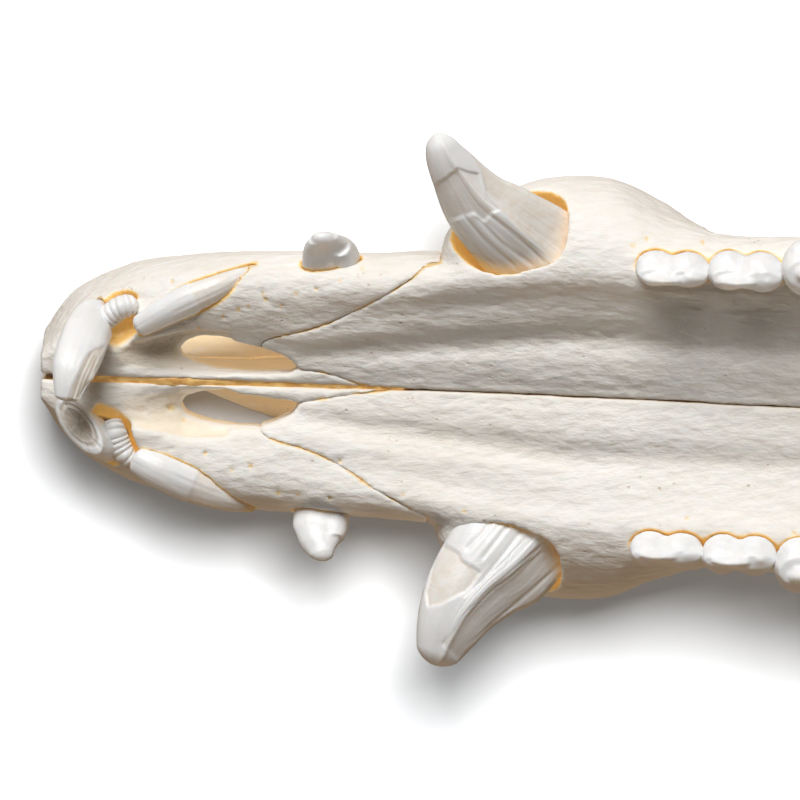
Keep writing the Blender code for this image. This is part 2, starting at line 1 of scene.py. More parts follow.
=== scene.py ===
"""The looks of a wild boar's skull: its bones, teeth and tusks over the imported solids.

Lengths are in millimetres, and the finished meshes in metres. A place on the skull is
(s, y, z): s runs back from the snout's tip, y to the animal's left, and z up from the floor. The
skull lies on its roof, so its palate is up and its roof is at low z. Bones are made as grids of
distances, below zero inside the bone, so that forms flow into each other as they do in bone.
"""

import math

import bpy
import numpy as np
import openvdb
from mathutils import Matrix, Vector

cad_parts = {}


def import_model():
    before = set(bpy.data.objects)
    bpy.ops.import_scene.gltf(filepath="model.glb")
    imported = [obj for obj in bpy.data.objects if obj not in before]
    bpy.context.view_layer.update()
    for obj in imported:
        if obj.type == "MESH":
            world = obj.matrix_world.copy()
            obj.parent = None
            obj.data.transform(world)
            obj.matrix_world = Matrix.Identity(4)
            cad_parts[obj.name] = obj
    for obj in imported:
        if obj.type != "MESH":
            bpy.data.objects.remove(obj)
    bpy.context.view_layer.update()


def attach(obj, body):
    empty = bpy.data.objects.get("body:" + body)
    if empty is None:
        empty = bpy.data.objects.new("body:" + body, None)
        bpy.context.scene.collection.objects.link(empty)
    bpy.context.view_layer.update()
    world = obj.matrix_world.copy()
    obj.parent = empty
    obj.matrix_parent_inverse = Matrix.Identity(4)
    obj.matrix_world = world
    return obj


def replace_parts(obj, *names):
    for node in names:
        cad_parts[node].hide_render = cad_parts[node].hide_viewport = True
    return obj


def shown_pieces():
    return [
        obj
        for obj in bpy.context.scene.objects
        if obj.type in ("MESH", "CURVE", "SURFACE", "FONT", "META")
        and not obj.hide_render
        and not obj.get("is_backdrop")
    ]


MM = 0.001
LENGTH = 376.0           # snout tip to nuchal crest
BAND = 4.0               # distances are kept this far from a surface
FINE, COARSE = 0.5, 1.0  # grid steps of the face and of the back of the skull
FACE_BOX = (-4, -1.2, -2), (216, 62, 96)    # the space of the face's grid, left half: low and high corners
BACK_BOX = (150, -1.5, -3), (380, 76, 125)  # the same for the back, its rows even about the midline
HOLLOW_SHADE_REACH = 1.6      # how far round a place bone is counted, to tell hollows, which get painted shade, from edges

# --- The photograph's view, the lights and the colours ---------------------------------------------

PHOTO_SIDE, PHOTO_MM = 800, 0.17     # pixels along the photograph's side, and millimetres in a pixel
VIEW_S, VIEW_HEIGHT = 60.7, 0.0525   # what the middle column shows: a place along the slit, and its level
SLIT_ROW = 390.7                     # the row of the photograph that the slit has there
CAMERA_LEAN, CAMERA_TURN, CAMERA_AWAY = 8.0, 1.05, 1.6
VIEW_WIDTH = PHOTO_SIDE * PHOTO_MM * MM
LIGHT_AWAY = 1.25
# Each light's size in metres, power in watts, azimuth, elevation, colour, and what it shines on.
LIGHTS = {
    "key": (0.7, 15.1, -19, 37, (1, 1, 1), "skull"),
    "fill": (0.34, 2.4, 188, 8, (1, 0.74, 0.5), "skull"),
    "floor_key": (0.3, 25.5, -12, 72.9, (1, 0.98, 0.955), "floor"),
    "floor_fill": (1.6, 3.8, 0, 90, (0.62, 0.83, 1), "floor"),
}
SKY_ABOVE, SKY_BELOW = (0.058, 0.044, 0.031), (0.25, 0.18, 0.12)
SKY_BLEND = 0.35         # how far above and below the horizon one goes over into the other
FLOOR_HALF = 3           # metres
BONE_PALE, BONE_WARM = (0.935, 0.915, 0.88), (0.905, 0.87, 0.81)
# BONE_HOLLOW_SHADE is painted shade: the darker, warmer colour laid into the bone's hollows.
BONE_HOLLOW_SHADE = (0.84, 0.73, 0.60)
# BONE_PORE_TINT_AND_SHADE darkens the pits: partly the pores' own brown, partly painted shade in them.
BONE_FIBRE, BONE_PORE_TINT_AND_SHADE = (0.82, 0.75, 0.65), (0.62, 0.47, 0.31)
AMBER_PALE, AMBER_DEEP = (0.93, 0.72, 0.40), (0.86, 0.53, 0.16)
ENAMEL_WHITE, ENAMEL_GREY = (0.93, 0.935, 0.935), (0.87, 0.875, 0.875)
DENTINE_PALE, DENTINE_DEEP = (0.93, 0.9, 0.85), (0.88, 0.81, 0.72)
MEMBRANE_PALE, MEMBRANE_DEEP = (0.78, 0.50, 0.18), (0.58, 0.31, 0.09)
FLOOR_PALE, FLOOR_DIM = (0.84, 0.86, 0.885), (0.82, 0.84, 0.865)
WORN_BROWN = (0.60, 0.52, 0.41)
PAINTED_GLOW_STRENGTH = 0.34         # strength of the painted glow that the bone gives off, as if light came through thin bone

# --- Profiles along the skull: (s, value) pairs, joined by a smooth curve --------------------------

PALATE_Z = ((0, 43), (8, 45.2), (30, 47), (66, 51.6), (100, 58), (150, 69.8), (200, 82), (228, 88))
ALVEOLAR_W = ((-1, 4), (3, 9), (8, 13.3), (18, 18.2), (36, 21.3), (66, 22.5), (76, 28), (86, 31.5),
              (96, 31.5),
              (106, 28.4), (114, 27.3), (130, 28.5), (150, 34), (170, 37), (190, 38.5), (204, 36), (228, 22))
WALL_W = ((-1, 6), (3, 11.8), (8, 15.6), (18, 19.3), (36, 21.2), (66, 21.9), (76, 28.5), (85, 33.2),
          (95, 34.8), (104, 31.8), (116, 26.6), (135, 25), (155, 27), (175, 33), (195, 37), (228, 26))
NASAL_W = ((18, 1.6), (20, 3.2), (24, 6.0), (27.2, 7.4), (32, 9.4), (39.4, 11.8), (43, 12.4), (60, 13.5),
           (120, 15), (170, 16.5), (198, 17))
SHOULDER_W = ((0, 9), (20, 12), (43, 15), (60, 17.5), (120, 20), (170, 24), (200, 29), (228, 40))
ROOF_Z = ((0, 0), (27, 0), (60, 1.2), (120, 2.4), (185, 2.6), (235, 1.6), (275, 1.6), (330, 2.4), (366, -1))
ROOF_W = ((186, 16), (200, 25), (215, 35), (230, 44.5), (242, 51), (251, 49), (260, 37), (272, 27), (295, 21),
          (325, 20), (348, 23), (364, 31), (LENGTH, 29))
BRAIN_W = ((205, 18), (222, 17), (240, 21), (258, 31), (280, 37), (300, 39), (318, 38), (334, 25))
BASE_Z = ((205, 78), (225, 74), (245, 69), (275, 70), (300, 77), (322, 85), (334, 82))
RIM_Z = ((-6, 28), (8, 26), (22, 23), (34, 16), (43, 9), (47, 5))
FLOOR_Z = ((-6, 27), (10, 30), (26, 38), (50, 41), (100, 49), (150, 61))
CAVITY_W = ((-6, 6), (8, 9), (22, 13), (40, 15), (60, 14), (80, 10), (120, 9))
SLIT_HALF = ((0, 0.55), (10, 0.48), (45, 0.32), (60, 0.26), (63, 0.1), (72, 0.07), (228, 0.07))
NASAL_CREST_Z = ((18, 5), (22, 12), (25, 15.6), (33, 16.4), (40, 13), (60, 15), (112, 20), (124, 7), (198, 7))
NASAL_UNDER_Z = 7.0
ROOF_THICK = 11.0

# The palate's relief: at each s, how far out and how high over the midline six lines lie, from the
# slit's lip over the inner groove to the alveolar crest.
PALATE_RELIEF = (
    (-1, (0.5, 1.2, 2.0, 2.6, 3.0, 3.4), (0.1, 0.2, 0.3, 0.3, 0.2, 0.0)),
    (9.7, (1.0, 3.5, 5.0, 6.5, 8.5, 10.5), (0.3, 1.2, 1.6, 1.8, 1.6, 1.0)),
    (18, (1.0, 4.5, 6.5, 8.7, 11.0, 14.5), (0.3, 1.6, 2.7, 3.2, 2.8, 1.6)),
    (25, (1.2, 4.0, 7.8, 10.0, 12.5, 16.4), (0.3, 0.5, 0.8, 2.4, 3.4, 3.3)),
    (34, (1.2, 4.0, 7.5, 9.5, 12.0, 16.6), (0.3, 0.4, 0.7, 2.2, 3.5, 4.3)),
    (40, (1.2, 3.8, 6.2, 8.8, 11.5, 16.9), (0.3, 0.4, 0.7, 2.4, 3.7, 4.9)),
    (43.5, (1.2, 3.9, 5.0, 7.6, 11.5, 17.2), (0.35, 0.6, 0.7, 2.4, 3.8, 5.2)),
    (49, (1.2, 4.3, 5.5, 8.8, 12.3, 17.8), (0.3, 1.0, 0.9, 3.2, 4.1, 5.9)),
    (61, (1.2, 4.7, 6.9, 10.6, 13.5, 18.2), (0.3, 1.2, 0.9, 3.4, 4.3, 6.2)),
    (69, (1.2, 5.3, 7.9, 11.3, 15.0, 19.6), (0.25, 1.2, 0.9, 3.2, 4.4, 6.8)),
    (95, (1.2, 6.8, 10.2, 14.0, 17.6, 21.4), (0.25, 1.5, 0.9, 3.3, 5.1, 7.5)),
    (112, (1.2, 6.8, 9.8, 13.2, 17.2, 20.6), (0.25, 1.4, 0.8, 2.5, 5.3, 8.0)),
    (129, (1.2, 6.8, 9.8, 13.2, 17.4, 21.4), (0.25, 1.4, 1.0, 2.6, 5.4, 8.0)),
    (150, (1.2, 7.0, 10.0, 13.6, 17.6, 22.4), (0.2, 1.3, 1.0, 2.4, 5.2, 8.0)),
    (200, (1.2, 7.0, 10.0, 14.0, 18.0, 24.0), (0.1, 0.8, 0.8, 1.8, 4.0, 6.5)),
    (228, (1.0, 4.0, 6.0, 9.0, 12.0, 15.0), (0.0, 0.2, 0.3, 0.6, 1.0, 1.6)),
)

# --- Forms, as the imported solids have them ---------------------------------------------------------

# Back of the head: (z, rear face's s, half width, thickness).
OCCIPUT = ((-2, LENGTH, 30, 9), (5, LENGTH + 0.5, 34, 14), (14, 371, 37, 22), (26, 361, 43, 28),
           (40, 350, 49, 32), (54, 341, 50, 34), (66, 334, 49, 34), (76, 331, 40, 32), (85, 329, 20, 26))
# Forms drawn along a path: (s, y, z, half size level with the floor, half size upright).
ARCH = ((168, 29, 63, 7, 12), (186, 37, 61, 9, 15), (204, 49, 57, 8, 17), (226, 61, 53, 6, 17),
        (248, 68, 49, 5, 17), (268, 70, 44, 5, 16), (284, 67, 39, 6, 15), (297, 58, 36, 8, 14),
        (309, 47, 36, 11, 14), (322, 36, 37, 13, 14))
JUGULAR = ((314, 41, 60, 9, 12), (315, 41, 78, 6.5, 9), (316, 39.5, 94, 4.5, 7), (317, 37.5, 108, 3.6, 5.5),
           (318, 36, 119, 2.6, 4), (318.3, 35.6, 123, 1.2, 1.8))
TEMPORAL_CREST = ((306, 53, 34, 6, 8), (322, 50, 34, 6, 9), (338, 43, 27, 6, 9), (352, 36, 17, 6, 8),
                  (367, 31, 5, 5, 6))
PTERYGOID = ((214, 15, 78, 3.2, 9), (232, 15.5, 80, 2.4, 9), (250, 15, 80, 2.2, 9), (262, 15, 84, 2.2, 7),
             (269, 16, 89, 1.6, 3))
EAR_TUBE = ((312, 40, 42, 7, 8), (317, 50, 35, 6, 6), (319, 54, 31, 5, 5))
POSTORBITAL = ((232, 40, 8, 6, 9), (246, 50, 11, 6, 9), (253, 56, 18, 5, 7.5), (256, 59, 27, 3, 4.5))
# Rounded forms: centre, radii and turn on plan in degrees.
BULLA = (294, 21.5, 86), (9, 7.5, 13), 0
CONDYLE = (328, 14.5, 76), (11, 11.5, 13), 20
JAW_JOINT = (287, 45, 51), (12, 21, 9), 0
LACRIMAL = (203, 34, 32), (17, 15, 30), 0
CHEEK = (192, 34, 62), (24, 15, 19), 0
TUSK_SWELLING = (91, 23.5, 44), (17, 11.5, 12), -10
TUSK_LIP = (71.0, 25.0, 51.5), (3.4, 5.2, 6.5), -19
TUBER = (205, 26, 74), (16, 11, 17), 0
# Hollows, in the same terms.
ORBIT = (231, 50, 26), (19, 22, 18), 0
INFRAORBITAL = (151, 27.5, 50), (9, 4, 3.5), 12
NAPE_CENTRE, NAPE_RADII, NAPE_TILT = (367, 0, 35), (20, 31, 36), -32
EAR_HOLE = ((318, 49, 35, 2.6, 2.6), (321, 62, 28, 3, 3))
FORAMEN_MAGNUM = ((300, 0, 60, 9, 8), (322, 0, 65, 10.5, 10), (350, 0, 72, 14, 12))
TUSK_SOCKET = ((92, 15, 45, 8.2, 7), (84.2, 23.2, 52.3, 8.9, 7.2), (78.2, 30, 56.5, 9.7, 8.4),
               (73, 37, 60, 10.4, 10.2))
SOCKET_CORNER = ((79.5, 22.6, 58.8, 1.0, 3.0), (83.4, 23.5, 59, 1.4, 3.4), (86.2, 24.3, 58.6, 1.6, 3.6),
                 (87.2, 27, 58.6, 1.5, 3.6), (87.2, 30.5, 59, 1.4, 3.6), (86.4, 33.5, 60, 1.2, 3.6))
# The bars between the palatine fissures run deep and thin into the nose.
PALATINE_BARS = ((17, -1.5), (64, -1.5), (64, 1.5), (17, 1.5))
VOMER_LEDGE = ((22, 1.9, 38.4, 0.5, 0.4), (28, 2.2, 38, 0.8, 0.45), (38, 2.4, 37.4, 0.9, 0.5),
               (46, 2.1, 37, 0.6, 0.4))
CHOANA = ((196, 68, 80), (215, 68, 84), (232, 71, 98), (252, 72, 100), (275, 73, 102))
CHOANA_HALF = 12.0

# --- Where bones part ------------------------------------------------------------------------------

# The suture between premaxilla and maxilla on the palate, from the midline out: (s, y).
PREMAXILLA_SUTURE = {
    "left": ((57, -1), (56, 0.25), (53, 0.8), (49.6, 2.0), (46.6, 2.6), (43.2, 2.8), (41, 3.7), (38, 5.6),
             (36.4, 7.0), (38.2, 8.0), (41.1, 9.0), (43.7, 9.6), (46.2, 10.5), (48.8, 11.5), (51.3, 12.9),
             (53.9, 14.3), (56.4, 15.8), (59, 17.4), (62.4, 19.7), (64.4, 21.6), (67.3, 22.4), (68.2, 60)),
    "right": ((60, -1), (59, 0.25), (54.7, 0.9), (48.8, 1.9), (43.7, 2.9), (41, 3.7), (38.5, 5.8),
              (36.6, 8.1),
              (38.6, 9.0), (40.7, 9.6), (44.1, 10.3), (47.1, 11.3), (50.1, 12.6), (53.5, 14.5), (56.4, 16.4),
              (59.8, 18.1), (63.2, 19.7), (65.8, 20.9), (67, 60)),
}
PREMAXILLA_SPLINT = ((40, 45), (66.8, 45), (118, 9), (118, -8), (40, -8))
SPLINT_INNER_Y = 9.0
FACE_BACK_S = 213.0
NASAL_BACK_S = 197.0
FRONTAL_BACK_S = 291.0
FRONTAL_DEPTH_Z = 13.0
ARCH_SPAN_S = (189.0, 291.0)
ARCH_INNER_Y = 42.0
BROW_SPAN_S = (226.0, 264.0)
BROW_TIP_Z = 33.0
CHEEK_ROOT_Z = 44.0
CHEEK_ROOT_BACK_S = 219.0
SUTURE_HALF = -0.04

# Outline of the gap in the palate behind the incisors, from its front end round the outside: (s, y).
FISSURE = {
    "left": ((23.0, 5.3), (24.2, 6.6), (26.5, 7.4), (29.5, 7.4), (33.5, 6.9), (37.2, 6.2), (40.3, 5.3),
             (42.3, 4.2), (43.3, 2.9), (42.0, 2.0), (38.6, 1.8), (34.3, 1.6), (29.2, 1.9), (25.8, 2.8),
             (23.6, 3.9)),
    "right": ((23.2, 4.6), (24.4, 5.9), (26.6, 6.8), (29.2, 7.4), (33.0, 7.8), (36.4, 7.7), (39.4, 6.7),
              (42.2, 5.3), (43.6, 3.4), (42.2, 2.6), (39.0, 2.5), (35.8, 2.1), (31.0, 1.6), (26.7, 2.1),
              (24.1, 2.9)),
}


def profile(points):
    """The smooth curve through (station, value) points, level beyond its ends."""
    stations, values = (np.array(column, float) for column in zip(*points))
    steps = np.diff(stations)
    slopes = np.diff(values) / steps
    tangents = np.zeros(len(values))
    same_way = slopes[:-1] * slopes[1:] > 0
    weights = 2 * steps[1:] + steps[:-1], steps[1:] + 2 * steps[:-1]
    inner = sum(weights) / (weights[0] / np.where(same_way, slopes[:-1], 1)
                            + weights[1] / np.where(same_way, slopes[1:], 1))
    tangents[1:-1] = np.where(same_way, inner, 0)
    tangents[0], tangents[-1] = slopes[0], slopes[-1]

    def at(s):
        s = np.clip(s, stations[0], stations[-1])
        i = np.clip(np.searchsorted(stations, s) - 1, 0, len(steps) - 1)
        t = (s - stations[i]) / steps[i]
        rise = t * t * (3 - 2 * t)
        lean = steps[i] * t * (1 - t) * ((1 - t) * tangents[i] - t * tangents[i + 1])
        return values[i] + rise * (values[i + 1] - values[i]) + lean

    return at


palate_z, alveolar_w, wall_w, nasal_w = map(profile, (PALATE_Z, ALVEOLAR_W, WALL_W, NASAL_W))
shoulder_w, roof_z, roof_w, brain_w = map(profile, (SHOULDER_W, ROOF_Z, ROOF_W, BRAIN_W))
base_z, rim_z, floor_z, cavity_w = map(profile, (BASE_Z, RIM_Z, FLOOR_Z, CAVITY_W))
slit_half, nasal_crest = profile(SLIT_HALF), profile(NASAL_CREST_Z)
relief_y = [profile([(row[0], row[1][i]) for row in PALATE_RELIEF]) for i in range(6)]
relief_h = [profile([(row[0], row[2][i]) for row in PALATE_RELIEF]) for i in range(6)]


def world(points):
    """Places on the skull, in metres, with the origin under the middle of the skull."""
    return (np.asarray(points, float) - (LENGTH / 2, 0, 0)) * MM


# --- Grids of distances ----------------------------------------------------------------------------


class Block:
    """A box of space as a grid of distances to the nearest surface, below zero inside a form."""

    def __init__(self, low, high, step):
        self.low = np.array(low, float)
        self.step = step
        self.shape = tuple(math.ceil((b - a) / step) + 1 for a, b in zip(low, high))
        self.field = np.full(self.shape, BAND, np.float32)

    def window(self, low, high):
        """The part of the grid that covers a box of space, or None where they don't meet."""
        first = np.floor((np.array(low) - self.low) / self.step).astype(int)
        last = np.ceil((np.array(high) - self.low) / self.step).astype(int) + 1
        first, last = np.maximum(first, 0), np.minimum(last, self.shape)
        if (last <= first).any():
            return None
        return tuple(slice(a, b) for a, b in zip(first, last))

    def axes(self, window):
        """s, y and z over a window, each along its own axis of the grid."""
        lines = [(self.low[i] + self.step * np.arange(cut.start, cut.stop)).astype(np.float32)
                 for i, cut in enumerate(window)]
        return lines[0][:, None, None], lines[1][None, :, None], lines[2][None, None, :]

    def whole(self):
        return tuple(slice(0, n) for n in self.shape)

    def copy(self):
        twin = Block.__new__(Block)
        twin.low, twin.step, twin.shape, twin.field = self.low, self.step, self.shape, self.field.copy()
        return twin

    def add(self, form, blend=0.0):
        window, values = form(self)
        if window:
            self.field[window] = low_of(self.field[window], values, blend)

    def carve(self, form, blend=0.0):
        window, values = form(self)
        if window:
            self.field[window] = -low_of(-self.field[window], values, blend)


def low_of(a, b, blend):
    """The lower of two distances, with the crease between them filled over that width."""
    if not blend:
        return np.minimum(a, b)
    share = np.clip(0.5 + 0.5 * (a - b) / blend, 0, 1)
    return a + share * (b - a) - blend * share * (1 - share)


def skin_form(points, quads, triangles):
    """A form bounded by a closed skin of faces."""
    points = np.asarray(points, np.float32)

    def distances(block):
        window = block.window(points.min(0) - BAND, points.max(0) + BAND)
        if window is None:
            return None, None
        on_grid = ((points - block.low) / block.step).astype(np.float32)
        grid = openvdb.FloatGrid.createLevelSetFromPolygons(
            on_grid, triangles=triangles.astype(np.uint32), quads=quads.astype(np.uint32),
            halfWidth=BAND / block.step)
        values = np.empty([cut.stop - cut.start for cut in window], np.float32)
        grid.copyToArray(values, ijk=tuple(cut.start for cut in window))
        return window, values * block.step

    return distances


def loft_form(rings):
    """A form through rings of (s, y, z) points, with flat ends."""
    rings = np.array(rings, float)
    count, around = rings.shape[:2]
    i, j = np.meshgrid(np.arange(count - 1), np.arange(around), indexing="ij")
    after = (j + 1) % around
    quads = np.stack([i * around + j, i * around + after, (i + 1) * around + after, (i + 1) * around + j], -1)
    middles = len(rings) * around + np.arange(2)
    near = np.arange(around)
    far = near + (count - 1) * around
    turn = np.roll(near, -1)
    ends = [np.stack([np.full(around, middles[0]), turn, near], -1),
            np.stack([np.full(around, middles[1]), far, turn + (count - 1) * around], -1)]
    points = np.concatenate([rings.reshape(-1, 3), [rings[0].mean(0), rings[-1].mean(0)]])
    return skin_form(points, quads.reshape(-1, 4), np.concatenate(ends))


def smooth_ring(points, per_side=5):
    """A closed smooth curve through the points, with so many points for each one given."""
    points = np.array(points, float)
    after = np.roll(points, -1, 0)
    before = np.roll(points, 1, 0)
    ahead = np.linalg.norm(after - points, axis=1)[:, None]
    back = np.roll(ahead, 1, 0)
    ways = ((points - before) / back * ahead + (after - points) / ahead * back) / (ahead + back)
    t = (np.arange(per_side) / per_side)[None, :, None]
    a, b = points[:, None], after[:, None]
    lean_a, lean_b = (ways * ahead)[:, None], (np.roll(ways, -1, 0) * ahead)[:, None]
    curve = (a * (2 * t ** 3 - 3 * t ** 2 + 1) + lean_a * (t ** 3 - 2 * t ** 2 + t)
             + b * (3 * t ** 2 - 2 * t ** 3) + lean_b * (t ** 3 - t ** 2))
    return curve.reshape(-1, points.shape[1])


def mirrored_ring(half):
    """The whole outline from its left half, which starts and ends on the midline."""
    return [*half, *((-y, z) for y, z in reversed(half[1:-1]))]


def section_form(section, stations):
    """A form of sections across the skull's length. section(s) is the left half's (y, z) points."""
    rings = []
    for s in stations:
        ring = smooth_ring(mirrored_ring(section(s)))
        rings.append(np.column_stack([np.full(len(ring), s), ring]))
    return loft_form(rings)


def ball_form(centre, radii, yaw=0.0, tilt=0.0):
    """A ball stretched to radii along s, y and z, tilted about y and then turned about z, in degrees."""
    turn = np.array(Matrix.Rotation(math.radians(yaw), 3, "Z") @ Matrix.Rotation(math.radians(tilt), 3, "Y"))
    reach = max(radii) + BAND

    def distances(block):
        window = block.window(np.array(centre) - reach, np.array(centre) + reach)
        if window is None:
            return None, None
        s, y, z = (line - c for line, c in zip(block.axes(window), centre))
        local = [turn[0, i] * s + turn[1, i] * y + turn[2, i] * z for i in range(3)]
        size = np.sqrt(sum((c / r) ** 2 for c, r in zip(local, radii)))
        slope = np.sqrt(sum((c / r ** 2) ** 2 for c, r in zip(local, radii)))
        return window, np.clip(size * (size - 1) / np.maximum(slope, 1e-6), -BAND, BAND).astype(np.float32)

    return distances


def tube_rings(stations, sides=24):
    """Elliptical sections square to a path of (s, y, z, half size level with the floor, other half size)."""
    path = np.array([row[:3] for row in stations], float)
    sizes = np.array([row[3:] for row in stations], float)
    along = np.gradient(path, axis=0)
    along /= np.linalg.norm(along, axis=1)[:, None]
    turns = np.arange(sides) * 2 * math.pi / sides
    rings = []
    for centre, way, (across, tall) in zip(path, along, sizes):
        side = np.cross((0, 0, 1), way) if abs(way[2]) < 0.85 else np.cross((1, 0, 0), way)
        side /= np.linalg.norm(side)
        up = np.cross(way, side)
        rings.append(centre + across * np.cos(turns)[:, None] * side + tall * np.sin(turns)[:, None] * up)
    return np.array(rings)


def along_path(stations, count):
    """The same path with its stations smoothed out to so many."""
    stations = np.array(stations, float)
    steps = np.linalg.norm(np.diff(stations[:, :3], axis=0), axis=1)
    reach = np.concatenate([[0], np.cumsum(steps)])
    curves = [profile(list(zip(reach, column))) for column in stations.T]
    return np.column_stack([curve(np.linspace(0, reach[-1], count)) for curve in curves])


def tube_form(stations, sides=24):
    """A form drawn along a smooth path: rows of (s, y, z, half size, other half size)."""
    return loft_form(tube_rings(along_path(stations, 4 * len(stations)), sides))


def prism_form(outline, low, high):
    """An outline on plan, (s, y) points, as a form between two heights."""
    return loft_form([[(s, y, z) for s, y in outline] for z in (low, high)])


# --- The bone as one form --------------------------------------------------------------------------


def face_section(s):
    """Half outline of the muzzle and face: palate relief, alveolar crest, cheek and roof."""
    palate = palate_z(s)
    lines = [(float(y(s)), float(palate + h(s))) for y, h in zip(relief_y, relief_h)]
    crest_y, crest = lines[-1]
    edge, wall, shoulder, roof = alveolar_w(s), wall_w(s), shoulder_w(s), roof_z(s)
    deep = crest - roof
    return [
        (0, palate),
        *lines,
        (0.55 * crest_y + 0.45 * edge, crest - 0.015 * deep),
        (edge, crest - 0.09 * deep),
        (wall, crest - 0.34 * deep),
        (0.55 * wall + 0.45 * shoulder, crest - 0.62 * deep),
        (shoulder, roof + 0.06 * deep + 3),
        (0.8 * shoulder, roof - 0.5),
        (0, roof - 0.5),
    ]


def roof_section(s):
    """Half outline of the frontal and parietal roof: a flat slab with a rounded brow."""
    half, roof = roof_w(s), roof_z(s)
    return [
        (0, roof + ROOF_THICK),
        (0.7 * half, roof + 0.85 * ROOF_THICK),
        (half, roof + 0.45 * ROOF_THICK),
        (0.93 * half, roof + 1.6),
        (0.6 * half, roof + 0.3),
        (0, roof),
    ]


def brain_section(s):
    """Half outline of the braincase between roof and skull base."""
    half, low, high = brain_w(s), roof_z(s) + 3, base_z(s)
    deep = high - low
    return [
        (0, high),
        (0.42 * half, high - 0.02 * deep),
        (0.8 * half, high - 0.16 * deep),
        (half, high - 0.45 * deep),
        (0.86 * half, high - 0.75 * deep),
        (0.6 * half, low),
        (0, low),
    ]


def cavity_section(s):
    """Half outline of the nasal cavity."""
    half, floor = cavity_w(s), floor_z(s)
    deep = floor - NASAL_UNDER_Z
    return [
        (0, floor),
        (0.7 * half, floor - 1),
        (half, floor - 0.35 * deep),
        (0.85 * half, NASAL_UNDER_Z + 0.15 * deep),
        (0.6 * half, NASAL_UNDER_Z),
        (0, NASAL_UNDER_Z),
    ]


# A slice through the plate at the back of the head: (share of its thickness, share of its half width).
OCCIPUT_SECTION = ((1, 0.8), (1, -0.8), (0.5, -1), (0.08, -0.86), (0, -0.35), (0, 0.35), (0.08, 0.86),
                   (0.5, 1))


def back_of_head():
    """The nuchal crest and the plate below it, drawn up from the crest."""
    rings = []
    for z, rear, half, thick in along_stations(OCCIPUT, 30):
        ring = smooth_ring([(rear - forward * thick, across * half) for forward, across in OCCIPUT_SECTION])
        rings.append([(s, y, z) for s, y in ring])
    return loft_form(rings)


def along_stations(table, count):
    """A table's rows smoothed out to so many, evenly along its first column."""
    table = np.array(table, float)
    curves = [profile(list(zip(table[:, 0], column))) for column in table.T]
    return np.column_stack([curve(np.linspace(table[0, 0], table[-1, 0], count)) for curve in curves])


def add_bone(block):
    """Every form of the left half's bone, without its teeth."""
    block.add(section_form(face_section, [-0.8, 0, 1, 2.4, *np.arange(4, 229, 2)]))
    block.add(ball_form(*TUSK_SWELLING), 6)
    for sizes, blend in ((CHEEK, 5), (LACRIMAL, 5), (TUBER, 5), (TUSK_LIP, 1.5)):
        block.add(ball_form(*sizes), blend)
    block.add(section_form(roof_section, [*np.arange(186, 371, 3), LENGTH - 1.5]), 4)
    block.add(section_form(brain_section, [*np.arange(205, 334, 3), 334]), 5)
    block.add(back_of_head(), 4)
    for path in (ARCH, TEMPORAL_CREST, POSTORBITAL, PTERYGOID, EAR_TUBE, JUGULAR):
        block.add(tube_form(path), 4)
    for sizes in (BULLA, CONDYLE, JAW_JOINT):
        block.add(ball_form(*sizes), 3)


def carve_hollows(block):
    """Every hollow that is alike on both sides."""
    block.carve(section_form(cavity_section, np.arange(-6, 121, 3)), 1)
    block.add(prism_form(PALATINE_BARS, 27, 45), 1)
    block.add(tube_form(VOMER_LEDGE), 0.3)
    block.carve(nostril_form(), 1.5)
    block.carve(choana_form(), 2)
    block.carve(ball_form(*ORBIT), 3)
    block.carve(ball_form(*INFRAORBITAL), 1)
    block.carve(ball_form(NAPE_CENTRE, NAPE_RADII, tilt=NAPE_TILT), 4)
    block.carve(tube_form(FORAMEN_MAGNUM), 2)
    block.carve(tube_form(EAR_HOLE), 1)
    block.carve(tube_form(TUSK_SOCKET), 1)
    block.carve(tube_form(SOCKET_CORNER), 0.5)
    block.carve(below_floor())


def below_floor():
    """All that would lie under the table's level."""
    return prism_form([(-30, -100), (400, -100), (400, 100), (-30, 100)], -20, 0)


def nostril_form():
    """All that is open beside and before the nasal bones, above the premaxilla's rim."""
    stations = np.arange(-8, 48, 2)
    return loft_form([[(s, -95, -9), (s, 95, -9), (s, 95, rim_z(s)), (s, -95, rim_z(s))] for s in stations])


def choana_form():
    """The inner nostrils, between the pterygoid plates, with the passage that leads to them."""
    rings = []
    for s, low, high in along_stations(CHOANA, 20):
        half = [(0, high), (0.9 * CHOANA_HALF, high - 2), (CHOANA_HALF, low + 6), (0.65 * CHOANA_HALF, low),
                (0, low)]
        ring = smooth_ring(mirrored_ring(half))
        rings.append(np.column_stack([np.full(len(ring), s), ring]))
    return loft_form(rings)


# --- Parting the bones -----------------------------------------------------------------------------


def form_field(block, form):
    """The distances to one form over a whole block."""
    field = np.full(block.shape, BAND, np.float32)
    window, values = form(block)
    if window:
        field[window] = values
    return field


def side_form(outline, inner_y, outer_y=110):
    """An outline seen from the side, (s, z) points, as a form between two distances from the midline."""
    return loft_form([[(s, y, z) for s, z in outline] for y in (inner_y, outer_y)])


def premaxilla_space(block, side):
    """How far each place lies from the part of the snout that the premaxilla fills."""
    front = prism_form([*PREMAXILLA_SUTURE[side], (-30, 60), (-30, -1)], -20, 110)
    splint = side_form(PREMAXILLA_SPLINT, SPLINT_INNER_Y)
    return np.minimum(form_field(block, front), form_field(block, splint))


def nasal_space(block):
    """How far each place lies from the plate of space under the snout's roof that the nasal fills."""
    stations = [17.5, 24, 32, 43, 60, 90, 120, 150, NASAL_BACK_S + 0.4]
    outline = [(stations[0], -3), *((s, float(nasal_w(s)) + 0.3) for s in stations), (stations[-1], -3)]
    plate = prism_form(outline, -20, NASAL_UNDER_Z + 0.3)
    return form_field(block, plate)


